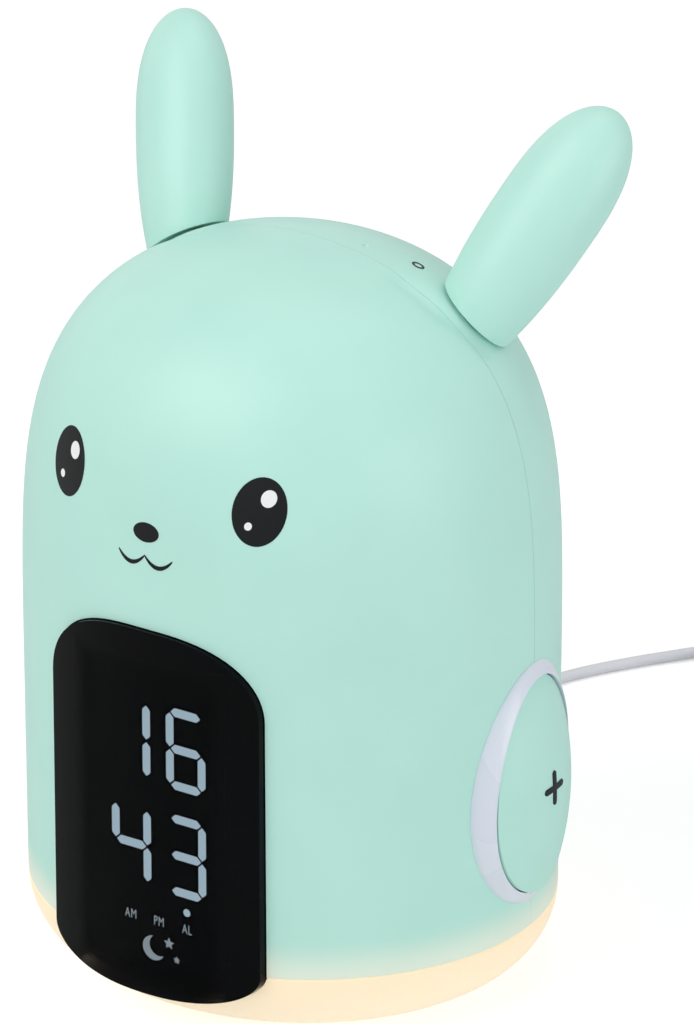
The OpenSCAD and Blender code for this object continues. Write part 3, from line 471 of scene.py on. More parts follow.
def ranged(
    tree: Tree,
    value: Socket,
    span: Pair = (0.0, 1.0),
    result: Pair = (0.0, 1.0),
    way: str = "LINEAR",
) -> Socket:
    """Maps a value from one span to another.

    Args:
        tree: The material's node tree.
        value: What is mapped.
        span: The values that become the ends of the result.
        result: The result's ends.
        way: Blender's name of the change between them.

    Returns:
        The mapped value.
    """
    ends = {"From Min": span[0], "From Max": span[1], "To Min": result[0], "To Max": result[1]}
    made = add_node(tree, "ShaderNodeMapRange", {"Value": value, **ends}, interpolation_type=way)
    return made.outputs["Result"]


def ramped(tree: Tree, share: Socket, ends: tuple[str, str], places: Pair = (0.0, 1.0)) -> Socket:
    """Colours a share from one hex code to another, between two places."""
    ramp = add_node(tree, "ShaderNodeValToRGB", {"Fac": share})
    for element, code, place in zip(ramp.color_ramp.elements, ends, places):
        element.position = place
        element.color = linear(code)
    return ramp.outputs["Color"]


def clouds(tree: Tree, place: Socket, size_mm: float, detail: float, rough: float) -> Socket:
    """A cloudy value from 0 to 1, with clouds of about size_mm."""
    links = {"Vector": place, "Scale": 1 / mm(size_mm), "Detail": detail, "Roughness": rough}
    return add_node(tree, "ShaderNodeTexNoise", links).outputs["Fac"]


def emboss(tree: Tree, shader: Node, height: Socket, depth_mm: float) -> None:
    """Makes a pattern stand in the surface's bump."""
    links = {"Height": height, "Distance": mm(depth_mm), "Strength": 1.0}
    bump = add_node(tree, "ShaderNodeBump", links)
    tree.links.new(bump.outputs["Normal"], shader.inputs["Normal"])


def shine(tree: Tree, shader: Node, colour: Socket, strength: float) -> None:
    """Lights the surface with a colour that varies over it."""
    tree.links.new(colour, shader.inputs["Emission Color"])
    shader.inputs["Emission Strength"].default_value = strength


@dataclass(frozen=True)
class Finish:
    """A moulded, printed or plated surface, made of one shader with a colour drift and a grain.

    The colour drifts slowly between two near shades, and a fine grain stands in its bump.
    """

    name: str
    colour: str
    shade: str
    roughness: float
    swing: float = 0.04
    drift_mm: float = 25.0
    grain_mm: float = 0.5
    grain_depth_mm: float = 0.01
    metallic: float = 0.0
    coat: float = 0.0
    subsurface: float = 0.0
    sheen: float = 0.0
    specular: float = 0.5
    glow: str = "#FFFFFF"
    glow_strength: float = 0.0

    def build(self) -> Material:
        """Makes the material."""
        made = bpy.data.materials.new(self.name)
        made.use_nodes = True
        tree = made.node_tree
        shader = tree.nodes["Principled BSDF"]
        place = add_node(tree, "ShaderNodeTexCoord").outputs["Object"]
        drift = clouds(tree, place, self.drift_mm, 2.0, 0.5)
        tree.links.new(self.colours(tree, drift, place), shader.inputs["Base Color"])
        emboss(tree, shader, clouds(tree, place, self.grain_mm, 3.0, 0.6), self.grain_depth_mm)
        ends = (max(self.roughness - self.swing, 0.02), self.roughness + self.swing)
        tree.links.new(ranged(tree, drift, result=ends), shader.inputs["Roughness"])
        for socket, value in (
            ("Metallic", self.metallic),
            ("Coat Weight", self.coat),
            ("Coat Roughness", 0.08),
            ("Subsurface Weight", self.subsurface),
            ("Subsurface Scale", mm(2)),
            ("Sheen Weight", self.sheen),
            ("IOR", 1.5),
            ("Specular IOR Level", self.specular),
            ("Emission Color", linear(self.glow)),
            ("Emission Strength", self.glow_strength),
        ):
            shader.inputs[socket].default_value = value
        self.extra(tree, shader, place)
        return made

    def colours(self, tree: Tree, drift: Socket, place: Socket) -> Socket:
        """Mixes the finish's two shades by the drift."""
        return ramped(tree, drift, (self.shade, self.colour), (0.3, 0.7))

    def extra(self, tree: Tree, shader: Node, place: Socket) -> None:
        """Adds what a special finish has beyond the plain one."""


@dataclass(frozen=True)
class LitShell(Finish):
    """ABS shell over the night light, whose lower edge is thin enough to let the light through."""

    lit: str = "#F58E70"
    strength: float = 0.28
    low_mm: float = 18.4
    high_mm: float = 28.5

    def extra(self, tree: Tree, shader: Node, place: Socket) -> None:
        """Adds the light that shows through, fading upwards from the joint."""
        height = add_node(tree, "ShaderNodeSeparateXYZ", {"Vector": place}).outputs["Z"]
        ends = (mm(self.low_mm), mm(self.high_mm))
        fade = ranged(tree, height, ends, (1.0, 0.0), "SMOOTHSTEP")
        shine(tree, shader, ramped(tree, fade, ("#000000", self.lit)), self.strength)


@dataclass(frozen=True)
class Diffuser(Finish):
    """Frosted acrylic lit from inside, warmer and dimmer by the joint than low down."""

    warm: str = "#FFE2B6"
    pale: str = "#FFF6E0"
    strength: float = 0.33
    low_mm: float = 4.0
    high_mm: float = 18.3

    def extra(self, tree: Tree, shader: Node, place: Socket) -> None:
        """Grades the light from the joint down to the foot."""
        height = add_node(tree, "ShaderNodeSeparateXYZ", {"Vector": place}).outputs["Z"]
        share = ranged(tree, height, (mm(self.low_mm), mm(self.high_mm)))
        shine(tree, shader, ramped(tree, share, (self.pale, self.warm)), self.strength)


@dataclass(frozen=True)
class SmokedWindow(Finish):
    """Smoked acrylic that lets the digits through in its middle, and is opaque black round it:
    painted shade for the dark inside of the clock.
    """

    half_w_mm: float = 16.0
    low_mm: float = 15.0
    high_mm: float = 88.0
    blend_mm: float = 4.5
    clear_alpha: float = 0.55

    def extra(self, tree: Tree, shader: Node, place: Socket) -> None:
        """Makes the middle see-through, and keeps the rest opaque black as painted shade."""
        parts = add_node(tree, "ShaderNodeSeparateXYZ", {"Vector": place}).outputs
        edges = (
            (maths(tree, "ABSOLUTE", parts["X"]), self.half_w_mm, self.blend_mm),
            (parts["Z"], self.high_mm, self.blend_mm),
            (parts["Z"], self.low_mm, -self.blend_mm),
        )
        across, above, below = (
            ranged(tree, source, (mm(start), mm(start + blend)), (self.clear_alpha, 1.0))
            for source, start, blend in edges
        )
        most = maths(tree, "MAXIMUM", maths(tree, "MAXIMUM", across, above), below)
        tree.links.new(most, shader.inputs["Alpha"])


@dataclass(frozen=True)
class Board(Finish):
    """Solder mask over copper tracks, which show as paler lines under it."""

    track: str = "#2B7A55"
    track_mm: float = 2.5
    track_share: float = 0.08

    def colours(self, tree: Tree, drift: Socket, place: Socket) -> Socket:
        """Draws the tracks as the edges of square cells."""
        links = {"Vector": place, "Scale": 1 / mm(self.track_mm), "Randomness": 0.7}
        cells = add_node(tree, "ShaderNodeTexVoronoi", links, feature="DISTANCE_TO_EDGE")
        line = maths(tree, "LESS_THAN", cells.outputs["Distance"], self.track_share)
        links = {"Factor": line, "A": linear(self.colour), "B": linear(self.track)}
        return add_node(tree, "ShaderNodeMix", links, data_type="RGBA").outputs["Result"]


@dataclass(frozen=True)
class Woven(Finish):
    """Woven strap, with threads that cross."""

    thread_mm: float = 0.5

    def extra(self, tree: Tree, shader: Node, place: Socket) -> None:
        """Puts the weave in the bump."""
        links = {"Vector": place, "Scale": 0.31 / mm(self.thread_mm), "Distortion": 1.0}
        wave = add_node(tree, "ShaderNodeTexWave", links, bands_direction="DIAGONAL")
        emboss(tree, shader, wave.outputs["Fac"], 0.1)


MINT = ("#BEEDE0", "#BAEADD", 0.42)
# The record's slots, and after them the looks that some pieces have in place of their slot's own.
FINISHES = {
    # Moulded ABS with a spark-eroded skin: satin, faintly uneven, colour all through.
    "mint": LitShell("abs_mint", *MINT, grain_mm=0.7),
    "white_plastic": Finish("abs_white", "#ECECEA", "#E6E6E4", 0.45),
    "black_plastic": Finish("abs_black", "#1B1B1D", "#222225", 0.5),
    # Frosted acrylic: even light, no hot spots.
    "glow": Diffuser("acrylic_frosted", "#E8D9BF", "#E6D6BB", 0.5, subsurface=0.2, grain_mm=1.0),
    # Polished smoked acrylic: black, with sharp reflections.
    "window_black": SmokedWindow(
        "acrylic_smoked", "#050608", "#040506", 0.07, specular=0.06, grain_depth_mm=0.0
    ),
    # Diffusing light pipe over cool white lamps.
    "digit_light": Finish(
        "light_pipe", "#9FB2BC", "#93A8B3", 0.4, glow="#B2CBDA", glow_strength=3.2
    ),
    # Milky polycarbonate: pale lavender, softly shining.
    "bezel_pale": Finish(
        "polycarbonate_milky", "#E3E8F2", "#DEE4F0", 0.28, subsurface=0.15, coat=0.2
    ),
    # Pad-printed ink: flat, faintly proud.
    "ink": Finish("ink_black", "#0D1011", "#121516", 0.45, specular=0.2, grain_depth_mm=0.003),
    "rubber": Finish("rubber_dark", "#3A3A3D", "#343437", 0.85, grain_depth_mm=0.03),
    # Zinc-plated steel: bright, with a fine drawn grain.
    "steel": Finish(
        "steel_plated", "#B8BBC0", "#A9ADB3", 0.3, drift_mm=4, grain_mm=0.3, metallic=1.0
    ),
    "white_board": Board("mask_white", "#EDEDEB", "#F2F2F0", 0.35, track="#DCDCD6"),
    "green_board": Board("mask_green", "#1E5C3F", "#1A5238", 0.35),
    "chip_glow": Finish(
        "phosphor", "#F4DE8C", "#EFD67C", 0.3, glow="#FFE7B8", glow_strength=1.5
    ),
    "paper_grey": Finish("paper_coated", "#4A4A4E", "#3F3F43", 0.8, grain_depth_mm=0.05),
    "magnet_grey": Finish("ferrite", "#55565A", "#4C4D51", 0.6, metallic=0.3),
    # Soft PVC jacket: pale, slightly waxy.
    "cable_white": Finish(
        "pvc_pale", "#E6E6EC", "#E0E0E7", 0.4, subsurface=0.1, grain_depth_mm=0.02
    ),
    "tie_black": Woven("nylon_woven", "#1C1C1E", "#242427", 0.8, sheen=0.3),
    # The same ABS where no light reaches it.
    "mint_plain": Finish("abs_mint_plain", *MINT, grain_mm=0.7),
    # Painted shade behind the window: the display's frame made flat black, darker than the
    # moulding's own black, for the dark inside the clock.
    "mask": Finish("painted_shade_black", "#08090B", "#0A0B0D", 0.5, specular=0.15),
    "dim_sign": Finish("ink_pale", "#B9C4CA", "#AEBAC1", 0.5, glow="#B9C9D2", glow_strength=2.0),
    "ink_white": Finish("ink_white", "#F4F7F6", "#EFF3F2", 0.4, grain_depth_mm=0.003),
}


@cache
def material(key: str) -> Material:
    """Makes a finish the first time that it is asked for, and keeps it."""
    return FINISHES[key].build()


# ---- Studio ----


@dataclass
class Studio:
    """Camera, floor, lamps and world."""

    azimuth: float = 34.4
    elevation: float = 23.2
    distance_mm: float = 2000.0
    aim_mm: Point = (0.0, 0.0, 85.0)
    right_mm: float = 12.4
    up_mm: float = 19.8
    lens: float = 311.8
    floor_lift: float = 0.42
    world_levels: Pair = (0.45, 1.0)

    def place_camera(self) -> None:
        """Sets the camera at the photograph's angle."""
        turn, rise = math.radians(self.azimuth), math.radians(self.elevation)
        flat = math.cos(rise)
        back = Vector((math.sin(turn) * flat, -math.cos(turn) * flat, math.sin(rise)))
        right = Vector((math.cos(turn), math.sin(turn), 0.0))
        up = back.cross(right)
        place = Vector(self.aim_mm) + right * self.right_mm + up * self.up_mm
        data = bpy.data.cameras.new("camera")
        data.lens = self.lens
        data.sensor_width = 36.0
        data.clip_end = 20.0
        camera = aimed(placed("camera", data), -back)
        camera.location = (place + back * self.distance_mm) / 1000
        bpy.context.scene.camera = camera

    def lay_floor(self) -> None:
        """Lays a pale floor that keeps the shadow and reads white elsewhere."""
        floor = added(bpy.ops.mesh.primitive_plane_add, "floor", size=6.0, location=(0, 0, -0.0002))
        paper = bpy.data.materials.new("floor_paper")
        paper.use_nodes = True
        tree = paper.node_tree
        shader = tree.nodes["Principled BSDF"]
        shader.inputs["Base Color"].default_value = (0.9, 0.9, 0.9, 1)
        shader.inputs["Roughness"].default_value = 0.9
        shader.inputs["Specular IOR Level"].default_value = 0.1
        shader.inputs["Emission Color"].default_value = (1, 1, 1, 1)
        path = add_node(tree, "ShaderNodeLightPath").outputs
        seen = maths(tree, "MULTIPLY", path["Is Camera Ray"], self.floor_lift)
        tree.links.new(seen, shader.inputs["Emission Strength"])
        dress(floor, paper)

    def lamp(self, name: str, place: Point, size: float, power: float, tint: str) -> None:
        """Adds a soft square lamp aimed at the clock.

        Args:
            name: The lamp's name.
            place: Where it hangs, in millimetres.
            size: Its side, in millimetres.
            power: Its power in watts.
            tint: Its colour.
        """
        data = bpy.data.lights.new(name, "AREA")
        data.size = mm(size)
        data.energy = power
        data.color = linear(tint)[:3]
        lamp = aimed(placed(name, data), (Vector(self.aim_mm) - Vector(place)) / 1000)
        lamp.location = Vector(place) / 1000

    def light(self) -> None:
        """Hangs the lamps and sets the world."""
        self.lamp("key", (-350, -900, 1000), 900, 7.3, "#FFFFFF")
        self.lamp("side", (1150, -100, 250), 800, 4.2, "#F8FBFF")
        self.lamp("top", (0, 200, 1300), 700, 2.0, "#FFFFFF")
        world = bpy.data.worlds.new("room")
        bpy.context.scene.world = world
        world.use_nodes = True
        tree = world.node_tree
        ground = tree.nodes["Background"]
        path = add_node(tree, "ShaderNodeLightPath").outputs
        shown = maths(tree, "MAXIMUM", path["Is Camera Ray"], path["Is Glossy Ray"])
        level = ranged(tree, shown, result=self.world_levels)
        tree.links.new(level, ground.inputs["Strength"])
        ground.inputs["Color"].default_value = (1, 1, 1, 1)
        bpy.context.scene.view_settings.view_transform = "Standard"

    def build(self) -> None:
        """Makes the whole studio."""
        self.place_camera()
        self.lay_floor()
        self.light()


# ---- Forms shared by several pieces ----


def oval(x: float, z: float, half_w: float, half_h: float, steps: int = 40) -> Flat:
    """Points round an ellipse, in millimetres."""
    turns = [math.tau * i / steps for i in range(steps)]
    return [(x + half_w * math.cos(a), z + half_h * math.sin(a)) for a in turns]


def stadium(x: float, z: float, half_w: float, radius: float, steps: int = 8) -> Flat:
    """Points round a bar with round ends that lies sideways, in millimetres."""
    reach = half_w - radius
    ends = [(reach, -90), (-reach, 90)]
    return [
        (
            x + shift + radius * math.cos(math.radians(start + 180 * i / steps)),
            z + radius * math.sin(math.radians(start + 180 * i / steps)),
        )
        for shift, start in ends
        for i in range(steps + 1)
    ]


@dataclass(frozen=True)
class Form:
    """The forms that the clock's outer pieces share: dome, bowl, window, buttons and ear seats."""

    half_w: float = 62.0
    half_d: float = 57.2
    dome_top: float = 172.4
    dome_start: float = 59.5
    dome_power: float = 4.8
    side_lean: float = 0.013
    seam_z: float = 18.4
    base_z: float = 1.0
    bowl_round: float = 18.5
    window_half_w: float = 28.0
    window_gap: float = 0.25
    window_low: float = 10.0
    window_high: float = 98.8
    arch_top_h: float = 18.0
    arch_low_h: float = 9.0
    arch_power: float = 2.6
    pod_at: tuple[float, float] = (4.5, 54.5)
    pod_half_w: float = 21.0
    pod_half_h: float = 29.0
    pod_egg: float = 0.07
    cap_x: float = 68.3
    crown_half: Point = (18.0, 25.0, 40.0)
    crown_shift: float = -3.0
    crown_drop: float = 3.0
    ear_at: Point = (39.6, 15.4, 158.3)
    ear_out: float = 23.5
    ear_back: float = 29.0

    def lean(self, z: float) -> float:
        """Share of the full width that the side has at height z."""
        return 1 + self.side_lean * (z - self.seam_z) / (self.dome_top - self.seam_z)

    def dome(
        self,
        name: str,
        grow: float,
        low: float,
        steps: int = 144,
        bands: int = 44,
        edge: float = 0.0,
    ) -> Obj:
        """Turns the domed body.

        Args:
            name: The new object's name.
            grow: How far it is grown outwards, in millimetres.
            low: Height of its flat underside.
            steps: How many steps go round.
            bands: How many bands go up the rounded part.
            edge: Width of the broken edge round its underside.

        Returns:
            The new closed object.
        """
        half_w, top = self.half_w + grow, self.dome_top + grow
        profile = [(0.0, low), (half_w * self.lean(low) - edge, low)]
        if edge:
            profile.append((half_w * self.lean(low + edge), low + edge))
        profile.append((half_w * self.lean(self.dome_start), self.dome_start))
        for i in range(1, bands + 1):
            angle = math.radians(90 * i / bands)
            z = self.dome_start + (top - self.dome_start) * math.sin(angle) ** (2 / self.dome_power)
            profile.append((half_w * self.lean(z) * math.cos(angle) if i < bands else 0.0, z))
        ratio = (self.half_d + grow) / half_w
        return turned(name, profile, steps, ratio)

    def bowl_curve(self, grow: float, high: float, first: float = 0.0, steps: int = 20) -> Flat:
        """The rounded base's outline from the angle first, in degrees, up to height high."""
        flat = 1 - 2 * self.bowl_round / (self.half_w + self.half_d)
        low = self.base_z - grow
        points = []
        for i in range(steps + 1):
            angle = math.radians(first + (90 - first) * i / steps)
            radius = (self.half_w + grow) * (flat + (1 - flat) * math.sin(angle))
            points.append((radius, low + (high - low) * (1 - math.cos(angle))))
        return points

    def arch(self, half_w: float, mid: float, rise: float, steps: int = 40) -> Flat:
        """One arched end of the window, from the right edge to the left edge."""
        points = []
        for i in range(steps + 1):
            angle = math.pi * i / steps
            across = math.cos(angle)
            x = half_w * math.copysign(abs(across) ** (2 / self.arch_power), across)
            points.append((x, mid + rise * math.sin(angle)))
        return points

    def window(self, grow: float) -> Flat:
        """The window's outline, grown by grow."""
        half_w = self.window_half_w + grow
        upper = self.arch(half_w, self.window_high - self.arch_top_h, self.arch_top_h + grow)
        lower = self.arch(half_w, self.window_low + self.arch_low_h, -self.arch_low_h - grow)
        return upper + [(-x, z) for x, z in lower]

    def pod(self, grow: float, steps: int = 96) -> Flat:
        """The side button's egg-shaped outline (y, z), grown by grow."""
        points = []
        for i in range(steps):
            angle = math.tau * i / steps
            across = (self.pod_half_w + grow) * math.sin(angle)
            y = across * (1 - self.pod_egg * math.cos(angle))
            z = (self.pod_half_h + grow) * math.cos(angle)
            points.append((self.pod_at[0] + y, self.pod_at[1] + z))
        return points

    def crown(self, name: str, inset: float) -> Obj:
        """The crown that the right button's cap and bezel follow, made smaller by inset."""
        half = Vector(self.crown_half)
        y, z = self.pod_at[0] + self.crown_shift, self.pod_at[1] - self.crown_drop
        middle = Vector((self.cap_x - half.x, y, z))
        obj = added(
            bpy.ops.mesh.primitive_uv_sphere_add,
            name,
            segments=96,
            ring_count=64,
            radius=1.0,
            location=middle / 1000,
            scale=(half - Vector((inset, inset, inset))) / 1000,
        )
        return settle(obj)

    def side_x(self, y: float, z: float) -> float:
        """How far the right side of the dome stands out at (y, z)."""
        share = self.lean(z)
        if z > self.dome_start:
            rise = (z - self.dome_start) / (self.dome_top - self.dome_start)
            share *= math.sqrt(1 - rise**self.dome_power)
        return self.half_w * share * math.sqrt(1 - (y / (self.half_d * share)) ** 2)

    def ear_frame(self) -> Matrix:
        """Place and lean of the right ear: its foot at the origin, its length along Z."""
        lean = Matrix.Rotation(math.radians(self.ear_out), 4, "Y")
        tip = Matrix.Rotation(math.radians(-self.ear_back), 4, "X")
        return Matrix.Translation(Vector(self.ear_at) / 1000) @ lean @ tip

    def at_ear(self, obj: Obj) -> Obj:
        """Moves a piece from the ear's own frame to the right ear's place."""
        obj.matrix_world = self.ear_frame()
        return settle(obj)

    def ear_rod(self, name: str, radius: float, low: float, high: float) -> Obj:
        """A round rod along the right ear's length, between two heights over its foot."""
        return self.at_ear(rod(name, radius, (0, 0, low), (0, 0, high), 64))


# ---- Shells and base ----


@dataclass
class Shells:
    """Front and rear shells: one domed wall, split behind the middle, with its openings."""

    form: Form
    wall: float = 2.2
    part_y: float = 5.0
    joint_w: float = 0.1
    joint_d: float = 1.15
    hollow_line: tuple[Point, ...] = ((28.3, 3.3, 167.1), (37.5, 3.4, 162.4), (46.8, 8.2, 153.8))
    hollow_depth: float = 0.9
    hollow_w: float = 3.0
    screws: tuple[Pair, ...] = ((-38, 30), (38, 30), (-46, 112), (46, 112))
    screw_r: float = 1.5
    front_post_r: float = 3.6
    rear_post_r: float = 4.2
    tunnel_r: float = 3.0
    tunnel_low: float = 15.0
    buttons_z: float = 112.0
    button_x: tuple[float, ...] = (-15.9, -5.3, 5.3, 15.9)
    button_hole_r: float = 3.8
    speaker: Pair = (0.0, 76.0)
    speaker_r: float = 20.0
    speaker_face: float = 49.0
    slot_count: int = 7
    slot_pitch: float = 4.4
    socket: Pair = (-18.0, 27.0)
    socket_half: Pair = (5.8, 3.8)
    pod_lap: float = 1.4
    well_r: float = 6.2
    dimple_at: Point = (13.5, 9.8, 170.9)
    dimple_r: float = 0.9
    beyond: float = 90.0
    above: float = 190.0

    def hollowed(self, place: Vector) -> Vector:
        """Presses the skin in along a soft hollow in front of each ear's foot."""
        near = math.inf
        here = Vector((abs(place.x), place.y, place.z))
        for a, b in zip(self.hollow_line, self.hollow_line[1:]):
            start, run = Vector(a), Vector(b) - Vector(a)
            share = min(1.0, max(0.0, (here - start).dot(run) / run.length_squared))
            near = min(near, (here - start - run * share).length)
        depth = self.hollow_depth * math.exp(-((near / self.hollow_w) ** 2))
        inward = Vector((place.x, place.y, place.z - 110)).normalized()
        return place - inward * depth

    def room(self) -> Obj:
        """The room inside the wall, less what stands in it: screw posts and the speaker's seat."""
        room = self.form.dome("room", -self.wall, self.form.seam_z - 1, bands=30)
        back, face = self.form.half_d, self.speaker_face
        posts = [peg("post", self.front_post_r, at, -back, self.part_y + 0.2) for at in self.screws]
        posts += [peg("post", self.rear_post_r, at, self.part_y, back) for at in self.screws]
        seat = peg("seat", self.speaker_r + 4, self.speaker, face - 1, back, 72)
        bore = peg("bore", self.speaker_r - 2, self.speaker, face - 5, back + 5, 72)
        step = peg("step", self.speaker_r + 0.3, self.speaker, face - 5, face, 72)
        cut(seat, [bore, step])
        return cut(room, posts + [seat])

    def openings(self) -> list[Obj]:
        """Tools for every opening in the wall."""
        form = self.form
        back = form.half_d + 6
        window = form.window(form.window_gap)
        pod = prism("pod_hole", form.pod(-self.pod_lap), Axis.ALONG_X, 41, 77)
        well = form.ear_rod("well", self.well_r, -14, 4)
        tools = [prism("window_hole", window, Axis.ALONG_Y, -80, -30)]
        tools += both_sides(pod) + both_sides(well)
        tools += [peg("tunnel", self.tunnel_r, at, self.tunnel_low, back) for at in self.screws]
        tools += [peg("screw", self.screw_r, at, -10, self.tunnel_low + 1) for at in self.screws]
        tools += [
            peg("key_hole", self.button_hole_r, (x, self.buttons_z), 46, back)
            for x in self.button_x
        ]
        for i in range(self.slot_count):
            rise = (i - (self.slot_count - 1) / 2) * self.slot_pitch
            half = math.sqrt((self.speaker_r - 4) ** 2 - rise**2)
            outline = stadium(0, self.speaker[1] + rise, half, 1.0)
            tools.append(prism("slot", outline, Axis.ALONG_Y, self.speaker_face + 0.5, back))
        (x, z), (w, h) = self.socket, self.socket_half
        tools.append(soften(slab("mouth", (x - w, 41, z - h), (x + w, back, z + h)), 1.2))
        dimple = added(
            bpy.ops.mesh.primitive_uv_sphere_add,
            "dimple",
            segments=24,
            ring_count=12,
            radius=mm(self.dimple_r),
            location=Vector(self.dimple_at) / 1000,
        )
        return tools + [settle(dimple)]

    def build(self) -> None:
        """Makes both shells."""
        form, part, far, top = self.form, self.part_y, self.beyond, self.above
        whole = form.dome("front_shell_skin", 0, form.seam_z, 216, 64, edge=0.3)
        reshape(whole, self.hollowed)
        cut(whole, [self.room()] + self.openings())
        half = self.joint_w / 2
        groove = slab("groove", (-far, part - half, 10), (far, part + half, top))
        cut(groove, [form.dome("groove_floor", -self.joint_d, form.seam_z - 20, bands=30)])
        cut(whole, [groove])
        rear = twin(whole, "rear_shell_skin")
        clip(whole, slab("front_half", (-far, -far, 0), (far, part, top)))
        clip(rear, slab("rear_half", (-far, part, 0), (far, far, top)))
        for shell, node in ((whole, "front_shell"), (rear, "rear_shell")):
            finish(smooth(shell), Body.CLOCK, "mint", (node,))


@dataclass
class LitBase:
    """The glowing bowl under the shells."""

    form: Form
    inner: float = 57.9
    outer: float = 59.5
    collar_top: float = 22.9
    ledge_z: float = 15.9
    floor_top: float = 5.4
    wall: float = 2.0
    floor_hole_r: float = 27.0
    plate_r: float = 36.3
    plate_t: float = 3.2
    screw_ring: float = 31.0
    post_r: float = 3.2
    screw_r: float = 1.3

    def build(self) -> None:
        """Makes the diffuser."""
        form = self.form
        curve = form.bowl_curve(0, form.seam_z)
        edge = (form.half_w - 0.35, form.seam_z)
        shape = [(0.0, form.base_z)] + curve[:-1] + [(form.half_w, form.seam_z - 0.35), edge]
        shape += [(self.outer, form.seam_z), (self.outer, self.collar_top)]
        shape += [(self.inner, self.collar_top), (self.inner, self.ledge_z)]
        shape += list(reversed(form.bowl_curve(-self.wall, self.ledge_z, 35.5)))
        shape.append((0.0, self.floor_top))
        bowl = turned("diffuser_bowl", shape, 144, form.half_d / form.half_w)
        corners = [math.radians(45 + 90 * i) for i in range(4)]
        screws = [(self.screw_ring * math.cos(a), self.screw_ring * math.sin(a)) for a in corners]
        fuse(bowl, [rod("post", self.post_r, (x, y, 4), (x, y, 12)) for x, y in screws])
        window = form.window(form.window_gap)
        tools = [
            rod("floor_hole", self.floor_hole_r, (0, 0, -1), (0, 0, 12), 96),
            rod("plate_seat", self.plate_r, (0, 0, -1), (0, 0, self.plate_t), 96),
            prism("window_hole", window, Axis.ALONG_Y, -80, -20),
        ]
        tools += [rod("screw_hole", self.screw_r, (x, y, 0), (x, y, 13), 24) for x, y in screws]
        cut(bowl, tools)
        finish(smooth(bowl), Body.CLOCK, "glow", ("diffuser",))


# ---- Window ----


@dataclass
class Window:
    """Smoked window moulding, and the small signs behind it."""

    form: Form
    face_y: float = -58.4
    face_r: float = 77.0
    back_y: float = -46.6
    wall: float = 2.0
    rim: float = 1.1
    print_y: float = -52.3
    print_t: float = 0.06
    letter_width: float = 0.66
    words_z: float = 25.3
    moon: tuple[float, ...] = (-1.6, 18.4, 3.0, 3.0)
    moon_shade: tuple[float, ...] = (-0.2, 19.3, 2.6, 2.6)
    stars: tuple[Point, ...] = ((2.6, 20.6, 1.5), (4.7, 17.0, 1.0))
    words: tuple[tuple[str, float], ...] = (("AM", -7.84), ("PM", -0.13), ("AL", 7.55))

    def lens(self) -> Obj:
        """The moulding: an arched cup with a face that curves sideways."""
        form = self.form
        middle = self.face_y + self.face_r
        front = -70
        cup = prism("window_moulding", form.window(0), Axis.ALONG_Y, self.back_y, front)
        low, high = (0, middle, -5), (0, middle, 120)
        clip(cup, rod("face", self.face_r, low, high, 240))
        soften(cup, self.rim, 4, 35)
        room = prism("cup_room", form.window(-self.wall), Axis.ALONG_Y, self.back_y + 1, front)
        clip(room, rod("face_in", self.face_r - self.wall, low, high, 240))
        return smooth(cut(cup, [room]), 30, True)

    def word(self, letters: str, x: float, size: float = 2.3) -> Obj:
        """A short word on the plane behind the window, as a mesh.

        Args:
            letters: What it says.
            x: Sideways place of its middle.
            size: Height of its letters.

        Returns:
            The word.
        """
        bpy.ops.object.select_all(action="DESELECT")
        bpy.ops.object.text_add(location=(0, 0, 0), rotation=(math.pi / 2, 0, 0))
        obj = bpy.context.active_object
        obj.data.body = letters
        obj.data.align_x = "CENTER"
        obj.data.align_y = "CENTER"
        obj.data.size = mm(size * 1.42)
        obj.data.space_character = 1.12
        obj.data.extrude = mm(self.print_t / 2)
        obj.scale.x = self.letter_width
        obj.location = Vector((x, self.print_y - self.print_t / 2, self.words_z)) / 1000
        bpy.ops.object.convert(target="MESH")
        return settle(obj)

    def plate(self, name: str, outline: Flat) -> Obj:
        """A thin printed shape on the plane behind the window."""
        return prism(name, outline, Axis.ALONG_Y, self.print_y, self.print_y - self.print_t)

    def star(self, x: float, z: float, radius: float) -> Obj:
        """A five-pointed star."""
        outline = []
        for i in range(10):
            angle = math.pi / 2 + math.pi * i / 5
            r = radius if i % 2 == 0 else radius * 0.45
            outline.append((x + r * math.cos(angle), z + r * math.sin(angle)))
        return self.plate("star", outline)

    def signs(self) -> Obj:
        """The lit words, and a moon with two stars, as one printed layer."""
        moon = self.plate("moon", oval(*self.moon, 48))
        cut(moon, [prism("moon_shade", oval(*self.moon_shade, 48), Axis.ALONG_Y, -50, -56)])
        stars = [self.star(*star) for star in self.stars]
        layer = merged([self.word(*word) for word in self.words] + [moon] + stars)
        layer.name = "window_signs"
        return layer

    def build(self) -> None:
        """Makes the moulding and the signs."""
        finish(self.lens(), Body.CLOCK, "window_black", ("window_lens",))
        finish(self.signs(), Body.CLOCK, "digit_light", look="dim_sign")


# ---- Side buttons ----


def eased_min(a: float, b: float, reach: float) -> float:
    """The lower of a and b, with the change from one to the other rounded off over reach."""
    near = max(0.0, 1 - abs(a - b) / reach)
    return min(a, b) - near**2 * reach / 4


